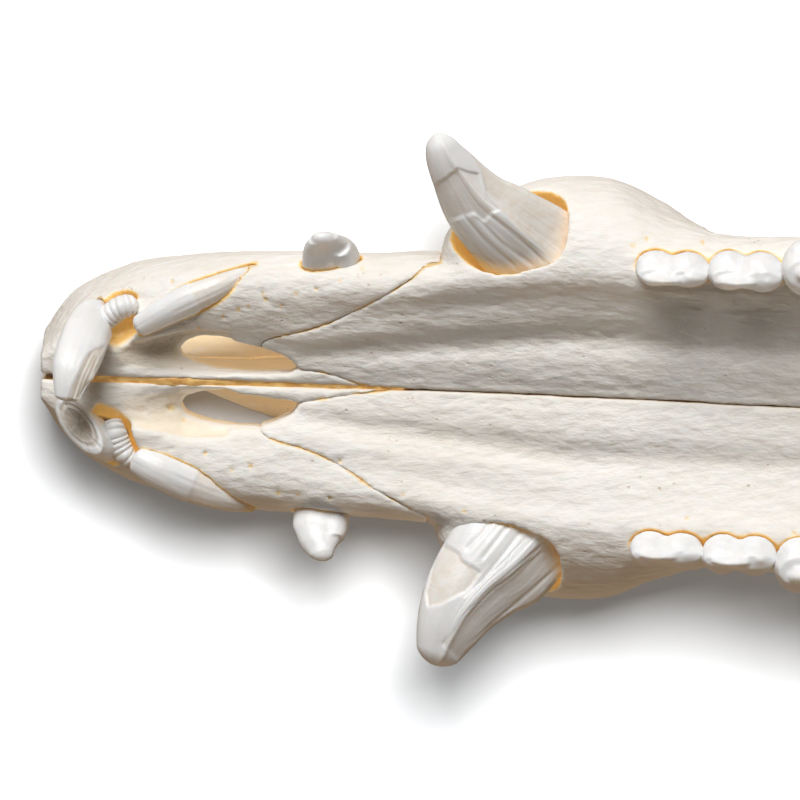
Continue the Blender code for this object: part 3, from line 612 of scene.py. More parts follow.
def arch_space(block):
    """How far each place lies from the part of the cheek that the zygomatic fills."""
    first, last = ARCH_SPAN_S
    brow_first, brow_last = BROW_SPAN_S
    outline = [(first, CHEEK_ROOT_Z), (CHEEK_ROOT_BACK_S, CHEEK_ROOT_Z), (CHEEK_ROOT_BACK_S, FRONTAL_DEPTH_Z),
               (brow_first, FRONTAL_DEPTH_Z), (brow_first, BROW_TIP_Z), (brow_last, BROW_TIP_Z),
               (brow_last, FRONTAL_DEPTH_Z), (last, FRONTAL_DEPTH_Z), (last, 150), (first, 150)]
    return form_field(block, side_form(outline, ARCH_INNER_Y))


def brow_space(block):
    """How far each place lies from the slab and the process that the frontal fills."""
    slab = prism_form([(NASAL_BACK_S, -3), (FRONTAL_BACK_S, -3), (FRONTAL_BACK_S, 110), (NASAL_BACK_S, 110)],
                      -20, FRONTAL_DEPTH_Z)
    first, last = BROW_SPAN_S
    outline = [(first, ARCH_INNER_Y), (last, ARCH_INNER_Y), (last, 110), (first, 110)]
    process = prism_form(outline, -20, BROW_TIP_Z)
    return np.minimum(form_field(block, slab), form_field(block, process))


def kept(*fields):
    """Where every one of the fields is inside."""
    result = fields[0]
    for field in fields[1:]:
        result = np.maximum(result, field)
    return result


# --- From grids to meshes --------------------------------------------------------------------------


def surface_of(block, field):
    """Points and quads of the surface where the field is zero: its largest body alone."""
    grid = openvdb.FloatGrid(BAND)
    grid.copyFromArray(np.ascontiguousarray(field, dtype=np.float32))
    points, quads = grid.convertToQuads(0.0)
    quads = largest_body(len(points), quads.astype(np.int64))
    used, quads = np.unique(quads, return_inverse=True)
    return points[used] * block.step + block.low, quads.reshape(-1, 4)


def largest_body(count, quads):
    """The quads of the largest connected body among them."""
    label = np.arange(count)
    edges = np.concatenate([quads[:, [0, 1]], quads[:, [1, 2]], quads[:, [2, 3]]])
    while True:
        lower = np.minimum(label[edges[:, 0]], label[edges[:, 1]])
        before = label.copy()
        np.minimum.at(label, edges[:, 0], lower)
        np.minimum.at(label, edges[:, 1], lower)
        label = label[label]
        if (label == before).all():
            break
    sizes = np.bincount(label[quads[:, 0]], minlength=count)
    return quads[label[quads[:, 0]] == sizes.argmax()]


def normals_of(points, quads):
    """Each point's outward direction, from the faces around it."""
    facing = np.cross(points[quads[:, 2]] - points[quads[:, 0]], points[quads[:, 3]] - points[quads[:, 1]])
    normals = np.zeros_like(points)
    for corner in range(4):
        for axis in range(3):
            normals[:, axis] += np.bincount(quads[:, corner], facing[:, axis], len(points))
    return normals / np.maximum(np.linalg.norm(normals, axis=1), 1e-9)[:, None]


def relaxed(points, quads, rounds, share=0.5):
    """The points drawn towards their neighbours' middle, to take the grid's steps off the surface."""
    ends = np.concatenate([quads[:, [0, 1]], quads[:, [1, 2]], quads[:, [2, 3]], quads[:, [3, 0]]])
    a, b = np.concatenate([ends[:, 0], ends[:, 1]]), np.concatenate([ends[:, 1], ends[:, 0]])
    weight = np.bincount(a, minlength=len(points))[:, None]
    for _ in range(rounds):
        middle = np.column_stack([np.bincount(a, points[b, axis], len(points)) for axis in range(3)])
        points = points + share * (middle / weight - points)
    return points


def mesh_object(name, points, quads, triangles=()):
    """A smoothly shaded mesh object from points on the skull."""
    triangles = np.asarray(triangles, np.int32).reshape(-1, 3)
    corners = np.concatenate([np.asarray(quads, np.int32).ravel(), triangles.ravel()])
    starts = np.concatenate([np.arange(len(quads)) * 4, len(quads) * 4 + np.arange(len(triangles)) * 3])
    mesh = bpy.data.meshes.new(name)
    mesh.vertices.add(len(points))
    mesh.vertices.foreach_set("co", world(points).astype(np.float32).ravel())
    mesh.loops.add(len(corners))
    mesh.loops.foreach_set("vertex_index", corners)
    mesh.polygons.add(len(starts))
    mesh.polygons.foreach_set("loop_start", starts.astype(np.int32))
    mesh.polygons.foreach_set("use_smooth", np.ones(len(starts), bool))
    mesh.update(calc_edges=True)
    obj = bpy.data.objects.new(name, mesh)
    bpy.context.scene.collection.objects.link(obj)
    return obj


def set_attribute(obj, name, values):
    """A number at each point, for the materials to read."""
    layer = obj.data.attributes.new(name, "FLOAT", "POINT")
    layer.data.foreach_set("value", np.asarray(values, np.float32))


def between(value, low, high):
    """0 below low, 1 above high, and a smooth rise between them."""
    t = np.clip((value - low) / (high - low), 0, 1)
    return t * t * (3 - 2 * t)


def rough(points, size, seed):
    """Smooth noise from -1 to 1 with bumps of about that size, which may differ along s, y and z."""
    lattice = np.random.default_rng(seed).uniform(-1, 1, (32, 32, 32))
    place = points / np.asarray(size, float)
    cell = np.floor(place).astype(int)
    t = place - cell
    t = t * t * (3 - 2 * t)
    total = 0
    for corner in np.ndindex(2, 2, 2):
        share = np.prod(np.where(corner, t, 1 - t), axis=1)
        total = total + share * lattice[tuple(((cell + corner) % 32).T)]
    return total


def sampled(block, field, points):
    """A field's values at points, taken from its grid."""
    place = np.clip((points - block.low) / block.step, 0, np.array(block.shape) - 1.001)
    cell = place.astype(int)
    t = (place - cell).astype(np.float32)
    total = 0
    for corner in np.ndindex(2, 2, 2):
        share = np.prod(np.where(corner, t, 1 - t), axis=1)
        total = total + share * field[tuple((cell + corner).T)]
    return total


def seen(points, sign):
    """Where the camera sees a side's points, as (s, distance from the slit) at the palate's level.
    sign is 1 for the left side, and -1 for the right side, whose y is given as if it were the left's."""
    return points[:, 0], points[:, 1] - sign * math.tan(math.radians(CAMERA_LEAN)) * (points[:, 2] - 46)


def outlined(points, outline, sign):
    """How far each seen point lies outside an outline, less than 0 within it."""
    s, v = seen(points, sign)
    inside = np.zeros(len(points), bool)
    for (s0, v0), (s1, v1) in zip(outline, outline[1:] + outline[:1]):
        if v0 != v1:
            inside ^= ((v0 > v) != (v1 > v)) & (s < s0 + (v - v0) * (s1 - s0) / (v1 - v0))
    nearest = from_line(points, outline + outline[:1], sign)
    return np.where(inside, -nearest, nearest)


def from_line(points, line, sign):
    """How far each seen point lies from an open line."""
    s, v = seen(points, sign)
    nearest = np.full(len(points), 1e9)
    for (s0, v0), (s1, v1) in zip(line, line[1:]):
        long, wide = s1 - s0, v1 - v0
        t = np.clip(((s - s0) * long + (v - v0) * wide) / (long ** 2 + wide ** 2), 0, 1)
        nearest = np.minimum(nearest, np.hypot(s - s0 - t * long, v - v0 - t * wide))
    return nearest


def rounded_path(stations, count, cap, cap_rings):
    """A tooth's path in even steps, its last few millimetres closed by a round end.

    Gives the stations, how far along each is, and its share of the full section.
    """
    stations = np.array(stations, float)
    reach = np.concatenate([[0], np.cumsum(np.linalg.norm(np.diff(stations[:, :3], axis=0), axis=1))])
    turns = np.linspace(0, math.pi / 2 - 0.02, cap_rings)[1:]
    places = np.concatenate([np.linspace(0, reach[-1] - cap, count), reach[-1] - cap + cap * np.sin(turns)])
    share = np.concatenate([np.ones(count), np.cos(turns)])
    path = np.column_stack([profile(list(zip(reach, column)))(places) for column in stations.T])
    path[:, 3:] *= share[:, None]
    return path, places / reach[-1], share


def closed_sweep(rings):
    """Points, quads between the rings, and a fan of triangles over each end."""
    count, around = rings.shape[:2]
    i, j = np.meshgrid(np.arange(count - 1), np.arange(around), indexing="ij")
    after = (j + 1) % around
    quads = np.stack([i * around + j, (i + 1) * around + j, (i + 1) * around + after, i * around + after], -1)
    near = np.arange(around)
    far = near + (count - 1) * around
    first, last = count * around, count * around + 1
    fans = [np.stack([np.full(around, first), near, np.roll(near, -1)], -1),
            np.stack([np.full(around, last), np.roll(far, -1), far], -1)]
    points = np.concatenate([rings.reshape(-1, 3), [rings[0].mean(0), rings[-1].mean(0)]])
    return points, quads.reshape(-1, 4), np.concatenate(fans)


# --- Teeth -----------------------------------------------------------------------------------------

# Front teeth and tusks, root to tip: (s, y, z, half size level with the floor, other half size).
# The right side's are given as if they were on the left.
TUSK = {
    "left": ((92, 14.5, 45, 7.6, 6.0), (84.6, 23.0, 52.5, 8.8, 6.2), (77.4, 29.4, 56.8, 7.4, 5.8),
             (73.0, 33.4, 58.7, 6.0, 5.0), (69.7, 38.0, 60.4, 4.5, 4.1), (67.3, 42.1, 61.7, 3.2, 3.1),
             (66.2, 45.3, 62.7, 1.8, 1.7)),
    "right": ((90, 13.5, 45, 7.6, 6.0), (83.5, 21.9, 52.5, 9.2, 6.2), (78.3, 27.5, 56.6, 9.6, 6.1),
              (74.3, 31.5, 58.7, 8.1, 5.5), (71.3, 35.6, 60.5, 6.7, 4.8), (69.2, 40.0, 62.0, 5.2, 3.7),
              (67.3, 45.4, 63.0, 3.0, 2.1)),
}
CENTRAL_INCISOR = {
    "left": ((9.4, 9.6, 36, 2.4, 2.2), (9.0, 10.2, 41, 3.0, 2.2), (8.3, 10.2, 46, 3.7, 2.2),
             (7.4, 8.8, 50.6, 4.1, 2.2), (6.4, 6.2, 54.2, 4.1, 2.1), (5.4, 3.4, 57, 3.8, 1.8),
             (4.8, 1.0, 58.3, 2.9, 1.3), (4.3, -1.9, 59.2, 1.95, 0.75)),
    "right": ((9.6, 10.8, 40, 2.8, 5.2), (8.4, 9.6, 44, 2.9, 5.8), (7.0, 8.2, 48, 2.8, 6.4),
              (6.0, 7.1, 51.0, 2.6, 6.2)),
}
MILK_INCISOR = {
    "left": ((36.2, 20.0, 47.6, 0.7, 0.7), (32.6, 18.3, 49.0, 1.6, 1.5), (28.5, 16.4, 50.0, 2.25, 2.0),
             (24.5, 14.6, 50.1, 2.5, 2.1), (20, 12.2, 50.1, 2.2, 1.8), (15.6, 9.5, 49.6, 1.6, 1.1)),
    "right": ((36, 21.4, 45.8, 0.9, 0.9), (33, 20.2, 47.6, 1.9, 1.7), (28.5, 18.6, 49.0, 2.6, 2.1),
              (24.5, 17.0, 49.8, 2.9, 2.2), (20, 15.0, 50.0, 2.8, 2.0), (15.4, 13.0, 49.4, 2.0, 1.2)),
}
THIRD_INCISOR = {
    "left": ((49.2, 16.6, 43, 4.0, 3), (48.9, 19.8, 47.4, 4.9, 2.9), (48.4, 22.4, 50.6, 5.0, 2.6),
             (47.6, 24.6, 53.0, 4.0, 1.9), (47.2, 26.2, 55.0, 2.6, 1.2)),
    "right": ((48.3, 17, 43, 3.8, 3), (48, 20.4, 47.4, 4.7, 2.9), (47.6, 23.4, 50.6, 4.8, 2.6),
              (47.6, 26, 53, 3.7, 1.9), (48.0, 28, 55, 2.0, 1.2)),
}
# The comb-edged second incisors, still in their crypts, from one end of the comb to the other.
SECOND_INCISOR = {
    "left": ((10.5, 9.8, 45.0, 1.3, 2.0), (11.8, 11.9, 46.3, 2.0, 2.5), (13.5, 12.9, 46.7, 2.0, 2.5),
             (15.8, 13.3, 46.0, 1.4, 2.0)),
    "right": ((11.8, 7.2, 45.0, 1.5, 2.6), (12.3, 9.6, 45.8, 2.1, 3.0), (13.4, 12.1, 45.8, 2.0, 3.0),
              (15.2, 14.1, 45.2, 1.4, 2.4)),
}
COMB_RIBS = 9
# Cross-section of a tusk: across from front to rear edge, and up, as shares of its half sizes.
TUSK_SECTION = ((1, 0.4), (0.72, 0.66), (0.4, 0.9), (0.22, 1.05), (0, 0.98), (-0.42, 0.84), (-0.82, 0.5),
                (-1, 0), (-0.88, -0.5), (-0.45, -0.9), (0.15, -0.85), (0.66, -0.4))
ROUND_SECTION = tuple((math.cos(t), math.sin(t)) for t in np.arange(12) * math.pi / 6)
# Marks on the tusks as the photograph sees them: (s, distance from the slit).
TUSK_PLATE = {
    "left": ((62, 33.0), (65.8, 34.3), (67.2, 35.1), (70.0, 37.2), (71.7, 36.6), (73.4, 36.4), (74.5, 33.0),
             (77.2, 30.1), (75.8, 29.5), (74.3, 27.9), (72.6, 29.3), (68.0, 27.8), (64, 28.2)),
    "right": ((68.7, 27.1), (70.0, 27.7), (71.4, 28.5), (71.7, 29.5), (75.1, 31.6), (74.0, 33.7),
              (72.6, 35.1), (68.3, 37.3), (65.9, 37.9), (65.5, 35.4), (66.5, 31.1)),
}
TUSK_REAR = {
    "left": ((92, 19), (85.9, 21.6), (79.7, 27.3), (74.6, 33.0), (73.7, 36.7), (71.5, 40.5),
             (75, 48), (95, 36)),
    "right": ((94, 20), (87.2, 26.0), (81.1, 31.0), (76.0, 35.3), (71.7, 39.9), (68.3, 44.1), (75, 50),
              (95, 36)),
}
TUSK_GROOVES = {
    "left": (((82.3, 21.1), (77.2, 24.6), (73.4, 28.4)), ((79.4, 20.8), (74.3, 25.0), (70.5, 29.4)),
             ((84.5, 21.5), (79.7, 25.9), (75.2, 29.2)), ((76.0, 20.8), (71.9, 24.7), (68.9, 27.0))),
    "right": (((89.5, 29.5), (83.5, 35.0), (78.5, 39.5), (73.5, 44.0)),
              ((83.6, 21.7), (79.1, 28.0), (75.0, 33.2), (72.3, 35.6)),
              ((87.2, 25.4), (81.1, 30.6), (76.0, 35.2), (71.7, 39.7), (68.3, 44.1)),
              ((81.1, 21.3), (77.7, 26.0), (75.3, 29.2)), ((77.7, 21.1), (75.1, 25.1), (72.6, 27.6))),
}
GROOVE_DEPTH, GROOVE_HALF = 0.2, 0.34
PLATE_DEPTH, PLATE_EDGE = 0.34, 0.22
# Where the left central incisor is worn to a streaked facet.
INCISOR_FACET = ((10.4, 5.8), (10.4, 3.4), (9.6, 1.6), (8.4, 0.0), (7.8, -2.5), (7.0, -4.8), (3.9, -4.8),
                 (4.9, -1.9), (6.2, 1.2), (7.4, 4.0), (8.8, 5.4))
FACET_STREAKS = (((8.4, 4.6), (6.8, 1.0), (5.2, -3.8)), ((9.0, 4.2), (7.4, 0.6), (6.2, -3.4)),
                 ((9.4, 3.8), (8.2, 0.6), (6.9, -3.0)))

# Cheek teeth: name, first s, last s, the row's y, width, crown height, half width of the crown's top as a
# share of the width, grid step, cusps. A cusp is (place along, place across, height) as shares of the
# crown and (half length, half width) in millimetres.
CHEEK_TEETH = (
    ("first_premolar", 100.2, 112.0, 23.9, 6.0, 6.8, 0.17, 0.24,
     ((0.4, -0.08, 1.0, 3.6, 0.85), (0.12, -0.05, 0.55, 1.5, 0.9), (0.8, -0.08, 0.7, 2.4, 0.9))),
    ("second_premolar", 112.3, 124.3, 24.1, 6.8, 7.4, 0.18, 0.24,
     ((0.4, -0.05, 1.0, 3.6, 0.95), (0.1, 0.0, 0.55, 1.6, 1.0), (0.8, -0.1, 0.68, 2.4, 1.2))),
    ("third_premolar", 124.6, 138.4, 25.3, 9.6, 7.4, 0.25, 0.26,
     ((0.38, 0.1, 1.0, 3.5, 1.7), (0.1, 0.05, 0.55, 1.9, 1.5), (0.76, 0.25, 0.78, 2.6, 1.6),
      (0.74, -0.5, 0.6, 2.6, 1.8))),
    ("fourth_premolar", 138.7, 151.4, 27.2, 12.6, 6.4, 0.36, 0.34,
     ((0.3, 0.42, 1.0, 2.6, 2.4), (0.72, 0.42, 0.95, 2.5, 2.3), (0.5, -0.45, 0.9, 2.9, 2.6),
      (0.08, 0.0, 0.55, 1.3, 2.6), (0.92, -0.1, 0.55, 1.3, 2.8))),
    ("first_molar", 151.7, 168.5, 28.6, 13.8, 4.6, 0.36, 0.36,
     ((0.24, 0.45, 1.0, 3.0, 2.7), (0.24, -0.45, 0.95, 3.0, 2.7), (0.68, 0.45, 1.0, 3.0, 2.7),
      (0.68, -0.45, 0.95, 3.0, 2.7), (0.46, 0.0, 0.85, 1.7, 1.7), (0.93, 0.0, 0.8, 1.5, 2.4),
      (0.05, 0.0, 0.7, 1.2, 2.8))),
    ("second_molar", 168.8, 190.4, 29.8, 16.6, 6.2, 0.36, 0.38,
     ((0.2, 0.45, 1.0, 3.5, 3.2), (0.2, -0.45, 0.95, 3.5, 3.2), (0.6, 0.45, 1.0, 3.5, 3.2),
      (0.6, -0.45, 0.95, 3.5, 3.2), (0.41, 0.0, 0.86, 1.9, 1.9), (0.88, 0.0, 0.85, 2.4, 3.4),
      (0.05, 0.0, 0.65, 1.4, 3.4), (0.76, -0.05, 0.8, 1.7, 1.7))),
)
NECK = 6.5
# How far the crowns lean out from the midline on each side, in millimetres at their tips.
CROWN_LEAN = {"left": -1.5, "right": 1.0}


def crest_z(s):
    """The height of the tooth row's bone edge."""
    return float(palate_z(s) + relief_h[5](s))


class Skin:
    """A tooth's surface as it is shaped: its points and faces, and where each point lies on it."""

    def __init__(self, points, quads, triangles=(), along=0.0, around=0.0, share=1.0):
        self.points, self.quads, self.triangles = points, quads, triangles
        self.along, self.around, self.share = along, around, share

    def normals(self):
        return normals_of(self.points, self.quads)

    def push(self, amounts):
        """Moves each point outwards by its amount."""
        self.points = self.points + self.normals() * np.asarray(amounts)[:, None]

    def facing_up(self):
        return between(self.normals()[:, 2], 0.0, 0.25)


def swept_skin(stations, section=ROUND_SECTION, count=90, per_side=7, cap=1.2, cap_rings=12):
    """A tooth drawn along its path. Its section's first axis lies level and points back."""
    path, along, share = rounded_path(stations, count, cap, cap_rings)
    outline = smooth_ring(section, per_side)
    way = np.gradient(path[:, :3], axis=0)
    way /= np.linalg.norm(way, axis=1)[:, None]
    side = np.cross((0, 0, 1), way)
    side *= np.sign(side[:, 0].sum()) / np.linalg.norm(side, axis=1)[:, None]
    up = np.cross(way, side)
    up *= np.sign(up[:, 2].sum())
    rings = (path[:, None, :3] + side[:, None] * (path[:, 3:4] * outline[:, 0])[:, :, None]
             + up[:, None] * (path[:, 4:5] * outline[:, 1])[:, :, None])
    if np.cross(side[0], up[0]) @ way[0] > 0:
        rings = rings[:, ::-1]
    sides = rings.shape[1]
    return Skin(*closed_sweep(rings), along=np.append(np.repeat(along, sides), [0, 1]),
                around=np.append(np.tile(np.arange(sides) / sides, len(along)), [0, 0]),
                share=np.append(np.repeat(share, sides), [0, 0]))


def grown_skin(forms, low, high, step):
    """A tooth whose forms flow into each other: (form, blend) pairs within a box."""
    block = Block(low, high, step)
    for form, blend in forms:
        block.add(form, blend)
    points, quads = surface_of(block, block.field)
    return Skin(relaxed(points, quads, 2), quads)


def striped(skin, lengthways, roundways, seed):
    """Noise in long streaks down a swept tooth."""
    place = np.column_stack([skin.along * lengthways, np.cos(2 * math.pi * skin.around) * roundways,
                             np.sin(2 * math.pi * skin.around) * roundways])
    return rough(place + 40, 1, seed)


def groove(skin, line, sign, half, depth):
    """How much a groove along a line lowers each point that faces up."""
    distance = from_line(skin.points, line, sign)
    return -depth * np.exp(-(distance / half) ** 2) * skin.facing_up()


def tusk_skin(side, sign):
    """The tusk, worn flat at its rear, with a plate of enamel and long grooves."""
    skin = swept_skin(TUSK[side], TUSK_SECTION, count=150, per_side=14, cap=2.2)
    up = skin.facing_up()
    rear = between(-outlined(skin.points, TUSK_REAR[side], sign), -0.2, 0.5) * up
    plate = between(-outlined(skin.points, TUSK_PLATE[side], sign), 0, PLATE_EDGE) * up
    marks = sum(groove(skin, line, sign, GROOVE_HALF, GROOVE_DEPTH) for line in TUSK_GROOVES[side])
    streaks = 0.08 * striped(skin, 3, 9, 1) + 0.045 * striped(skin, 9, 22, 2)
    worn_tip = between(skin.along, 0.7, 0.93)
    skin.push((marks * (1 - plate) + streaks * (1 - 0.4 * rear)) * (1 - 0.85 * worn_tip)
              - PLATE_DEPTH * plate - 0.22 * rear)
    fading = 1 - 0.6 * between(skin.along, 0.3, 0.65) * (side == "right")
    skin.dentine = np.maximum(rear * fading, (0.85 if side == "right" else 0.45) * plate)
    skin.stain = between(0.3 - skin.along, 0.0, 0.3) * (0.5 + 0.5 * rear)
    return skin


def central_skin(side, sign):
    if side == "left":
        skin = swept_skin(CENTRAL_INCISOR[side], count=110, per_side=10, cap=0.6)
        facet = between(-outlined(skin.points, INCISOR_FACET, sign), -0.3, 0.5) * skin.facing_up()
        streaks = sum(groove(skin, line, sign, 0.26, 0.13) for line in FACET_STREAKS)
        skin.push(streaks - 0.25 * facet + 0.05 * striped(skin, 4, 6, 3))
        skin.dentine = facet
        skin.wear = 0.5 * facet * between(-streaks, 0.0, 0.13)
        skin.stain = between(0.16 - skin.along, 0, 0.1)
        return skin
    skin = swept_skin(CENTRAL_INCISOR[side], count=60, per_side=14, cap=0.7, cap_rings=36)
    hollow = between(0.86 - skin.share, 0, 0.18) + 1.6 * between(0.6 - skin.share, 0, 0.5)
    lip = np.exp(-((skin.share - 0.62) / 0.06) ** 2) * between(0.99 - skin.share, 0, 0.01)
    skin.points[:, 2] += -0.55 * hollow + 0.3 * lip + 0.12 * striped(skin, 3, 5, 4)
    skin.dentine = 0.6 * between(0.9 - skin.share, 0, 0.3)
    skin.wear = 0.55 * between(0.84 - skin.share, 0, 0.12) * (1 - 0.8 * lip)
    skin.stain = 0.8 * between(0.35 - skin.along, 0, 0.3)
    return skin


def milk_skin(side, sign):
    skin = swept_skin(MILK_INCISOR[side], count=110, per_side=8, cap=0.9)
    crown = between(skin.along, 0.5, 0.54)
    skin.push(0.16 * crown + 0.05 * striped(skin, 5, 5, 5))
    skin.dentine = 0.75 * (1 - crown)
    skin.stain = between(0.16 - skin.along, 0, 0.14)
    return skin


def comb_skin(side, sign):
    """A crown with a row of ribs, as a boar's second incisor has before it is worn."""
    skin = swept_skin(SECOND_INCISOR[side], count=120, per_side=7, cap=1.4)
    ribs = np.abs(np.sin(COMB_RIBS * math.pi * skin.along)) ** 0.8
    skin.push(0.32 * ribs * (0.4 + 0.6 * skin.facing_up()) - 0.15)
    skin.dentine = 0.25 * (1 - ribs)
    skin.stain = 0.5 * between(46.5 - skin.points[:, 2], 0, 1.5)
    return skin


def third_skin(side, sign):
    """The third incisor: a crown with a narrow ridge close behind it."""
    path = np.array(THIRD_INCISOR[side])
    second = path[1:-1] + (2.6, -0.4, 0.3, 0, 0)
    second[:, 3:] *= (0.42, 0.8)
    low, high = path[:, :3].min(0) - 7, path[:, :3].max(0) + 4
    tip = ball_form(path[-1, :3], (1.9, 1.2, 1.2))
    skin = grown_skin([(tube_form(path), 0), (tube_form(second), 0.5), (tip, 0.5)], low, high, 0.24)
    skin.push(0.08 * rough(skin.points, (2.5, 1.6, 1.6), 6) + 0.04 * rough(skin.points, 0.9, 7))
    rise = skin.points[:, 1] - 20
    skin.dentine = 0.3 * between(1.5 - rise, 0, 2)
    skin.stain = between(0.8 - rise, 0, 1.6)
    return skin


def cheek_forms(start, stop, row_y, width, height, top_half, cusps, lean):
    """A crown's neck and cusps as (form, blend) pairs."""
    middle, long = (start + stop) / 2, stop - start
    gum = crest_z(middle)
    slope = (crest_z(stop) - crest_z(start)) / long
    lobes = [(start + 0.27 * long, 0.3 * long), (stop - 0.28 * long, 0.31 * long)]
    forms = []
    for s, half in lobes:
        at = gum + slope * (s - middle)
        neck = [(s, row_y, at - NECK, 0.6 * half, 0.3 * width), (s, row_y, at - 1, 0.88 * half, 0.42 * width),
                (s, row_y + 0.1 * lean, at + 0.25 * height, half, 0.5 * width),
                (s, row_y + 0.66 * lean, at + 0.66 * height, 0.86 * half, top_half * width)]
        forms.append((upright_form(neck), 1.2))
    for along, across, tall, half_long, half_wide in cusps:
        s, y = start + along * long, row_y + 0.5 * across * width + tall * lean
        top = gum + slope * (s - middle) + tall * height
        forms.append((ball_form((s, y, top - 0.5 * height), (half_long, half_wide, 0.5 * height)), 0.9))
    return forms


def upright_form(stations, sides=28):
    """A form of level ellipses, one over another: (s, y, z, half length, half width)."""
    turns = np.arange(sides) * 2 * math.pi / sides
    rings = []
    for s, y, z, half_long, half_wide in along_path(stations, 12):
        rings.append(np.column_stack([s + half_long * np.cos(turns), y + half_wide * np.sin(turns),
                                      np.full(sides, z)]))
    return loft_form(rings)


def cheek_skin(start, stop, row_y, width, height, top_half, step, cusps, lean, seed):
    middle = (start + stop) / 2
    gum = crest_z(middle)
    reach = np.array([(stop - start) / 2 + 1.5, width / 2 + 1.5, 0])
    centre = np.array([middle, row_y, gum])
    skin = grown_skin(cheek_forms(start, stop, row_y, width, height, top_half, cusps, lean),
                      centre - reach - (0, 0, NECK + 1.5), centre + reach + (0, 0, height + 2), step)
    slope = (crest_z(stop) - crest_z(start)) / (stop - start)
    rise = skin.points[:, 2] - gum - slope * (skin.points[:, 0] - middle)
    wrinkles = rough(skin.points, (1.6, 1.1, 3.0), seed) * between(rise, 0.5, 2.5)
    skin.push(0.13 * wrinkles + 0.05 * rough(skin.points, 0.7, seed + 1))
    worn = 0.7 * between(rise, 0.86 * height, 0.98 * height) * between(wrinkles, -0.4, 0.5)
    skin.dentine = np.maximum(worn, 0.6 * between(0.6 - rise, 0, 1.4))
    skin.stain = between(0.9 - rise, 0, 1.6)
    return skin


FRONT_TEETH = {
    "tusk": (TUSK, tusk_skin),
    "central": (CENTRAL_INCISOR, central_skin),
    "milk": (MILK_INCISOR, milk_skin),
    "second": (SECOND_INCISOR, comb_skin),
    "third": (THIRD_INCISOR, third_skin),
}


def side_teeth(side, sign):
    """Every tooth of one side, by name."""
    skins = {f"{name}_tooth": shape(side, sign) for name, (_, shape) in FRONT_TEETH.items()}
    for seed, (name, *sizes) in enumerate(CHEEK_TEETH):
        skins[name] = cheek_skin(*sizes, CROWN_LEAN[side], 20 + 3 * seed)
    return skins


def teeth_field(block, side):
    """The distances to the teeth of one side."""
    room = block.copy()
    room.field[:] = BAND
    for name in ("central", "milk", "third"):
        room.add(tube_form(FRONT_TEETH[name][0][side]))
    for _, start, stop, row_y, width, height, top_half, _, cusps in CHEEK_TEETH:
        forms = cheek_forms(start, stop, row_y, width, height, top_half, cusps, CROWN_LEAN[side])
        for form, blend in forms[:2]:
            room.add(form, blend)
    return room.field


# --- The bones -------------------------------------------------------------------------------------

# Hollows of the front of the palate, which differ a little from side to side: paths of
# (s, y, z, half size level with the floor, other half size), with the blend of their edges.
TROUGHS = {
    "left": ((((31, 5.6, 46.4, 3.4, 2.0), (25, 5.4, 46.0, 3.6, 2.6), (20.5, 4.8, 46.8, 3.2, 2.3),
               (16, 4.0, 47.9, 2.6, 1.9), (11, 3.4, 49.4, 1.9, 1.4)), 2.4),),
    "right": ((((31, 5.6, 46.2, 3.6, 2.2), (25.5, 5.4, 46.0, 3.8, 2.8), (20.5, 4.8, 46.9, 3.4, 2.5),
                (15, 4.4, 48.3, 2.6, 1.8), (11, 4.0, 49.8, 1.8, 1.2)), 2.6),),
}
CRYPTS = {
    "left": ((((9.4, 12.5, 46.4, 1.7, 2.5), (12.2, 13.2, 46.4, 2.4, 2.6), (15.3, 12.6, 46.4, 2.1, 2.6)), 0.8),
             (((15.6, 11.0, 46.6, 2.2, 2.4), (13.2, 8.8, 47.2, 2.2, 1.9), (10.8, 6.6, 47.2, 1.7, 1.6)), 0.8)),
    "right": ((((8.4, 5.2, 47.0, 1.7, 2.0), (10.8, 6.8, 46.8, 2.3, 2.3), (12.8, 9.4, 46.4, 2.9, 2.7),
                (14.9, 13.0, 46.1, 2.4, 2.8)), 0.8),
              (((9.4, 12.6, 45.4, 1.1, 2.2), (12.2, 14.4, 45.4, 1.3, 2.4)), 0.8)),
}
TOOTH_GAP = 0.1
# Pores in the palate and cheek: (s, y) and size, on either side.
PORES = {
    "left": ((33.0, 13.2, 0.45), (34.7, 13.9, 0.3), (37.1, 16.2, 0.3), (37.6, 15.2, 0.4), (40.3, 14.2, 0.3),
             (42.8, 16.5, 0.35), (46.2, 17.3, 0.35), (50.2, 19.0, 0.3), (30.4, 11.8, 0.35), (54, 20.9, 0.3),
             (26.2, 9.4, 0.45), (99.5, 27, 0.4), (101.8, 28.1, 0.35), (111.2, 27.6, 0.35), (21.6, 17.4, 0.3)),
    "right": ((27.7, 11.8, 0.35), (32.3, 14.3, 0.3), (35.5, 13.5, 0.45), (40.3, 18.0, 0.45),
              (43.7, 17.9, 0.35),
              (49.1, 18.3, 0.4), (54.4, 15.2, 0.4), (50.7, 12.2, 0.4), (109.5, 18.8, 0.35),
              (127.5, 20.2, 0.35), (21.6, 4.9, 0.7), (23.8, 7.0, 0.4), (61.5, 17.2, 0.3), (72, 19.4, 0.35)),
}
STAIN_REACH = 0.85


def without_pores(block, side):
    """Dents the surface at each pore."""
    for s, y, size in PORES[side]:
        i, j = (round(float(value)) for value in (np.array((s, y)) - block.low[:2]) / block.step)
        inside = np.nonzero(block.field[i, j] < 0)[0]
        surface = block.low[2] + block.step * inside[-1]
        block.carve(ball_form((s, y, surface + 0.35), (size, size, 0.8)), 0.3)


def side_block(face, side):
    """The front of one side, as if it were the left, with what only that side has."""
    block = face.copy()
    block.carve(prism_form(FISSURE[side], 20, 70), 0.8)
    for path, blend in TROUGHS[side]:
        block.carve(tube_form(path), blend)
    for path, blend in CRYPTS[side]:
        block.carve(tube_form(path), blend)
    teeth = teeth_field(block, side)
    block.field = np.maximum(block.field, TOOTH_GAP - teeth)
    return block, teeth


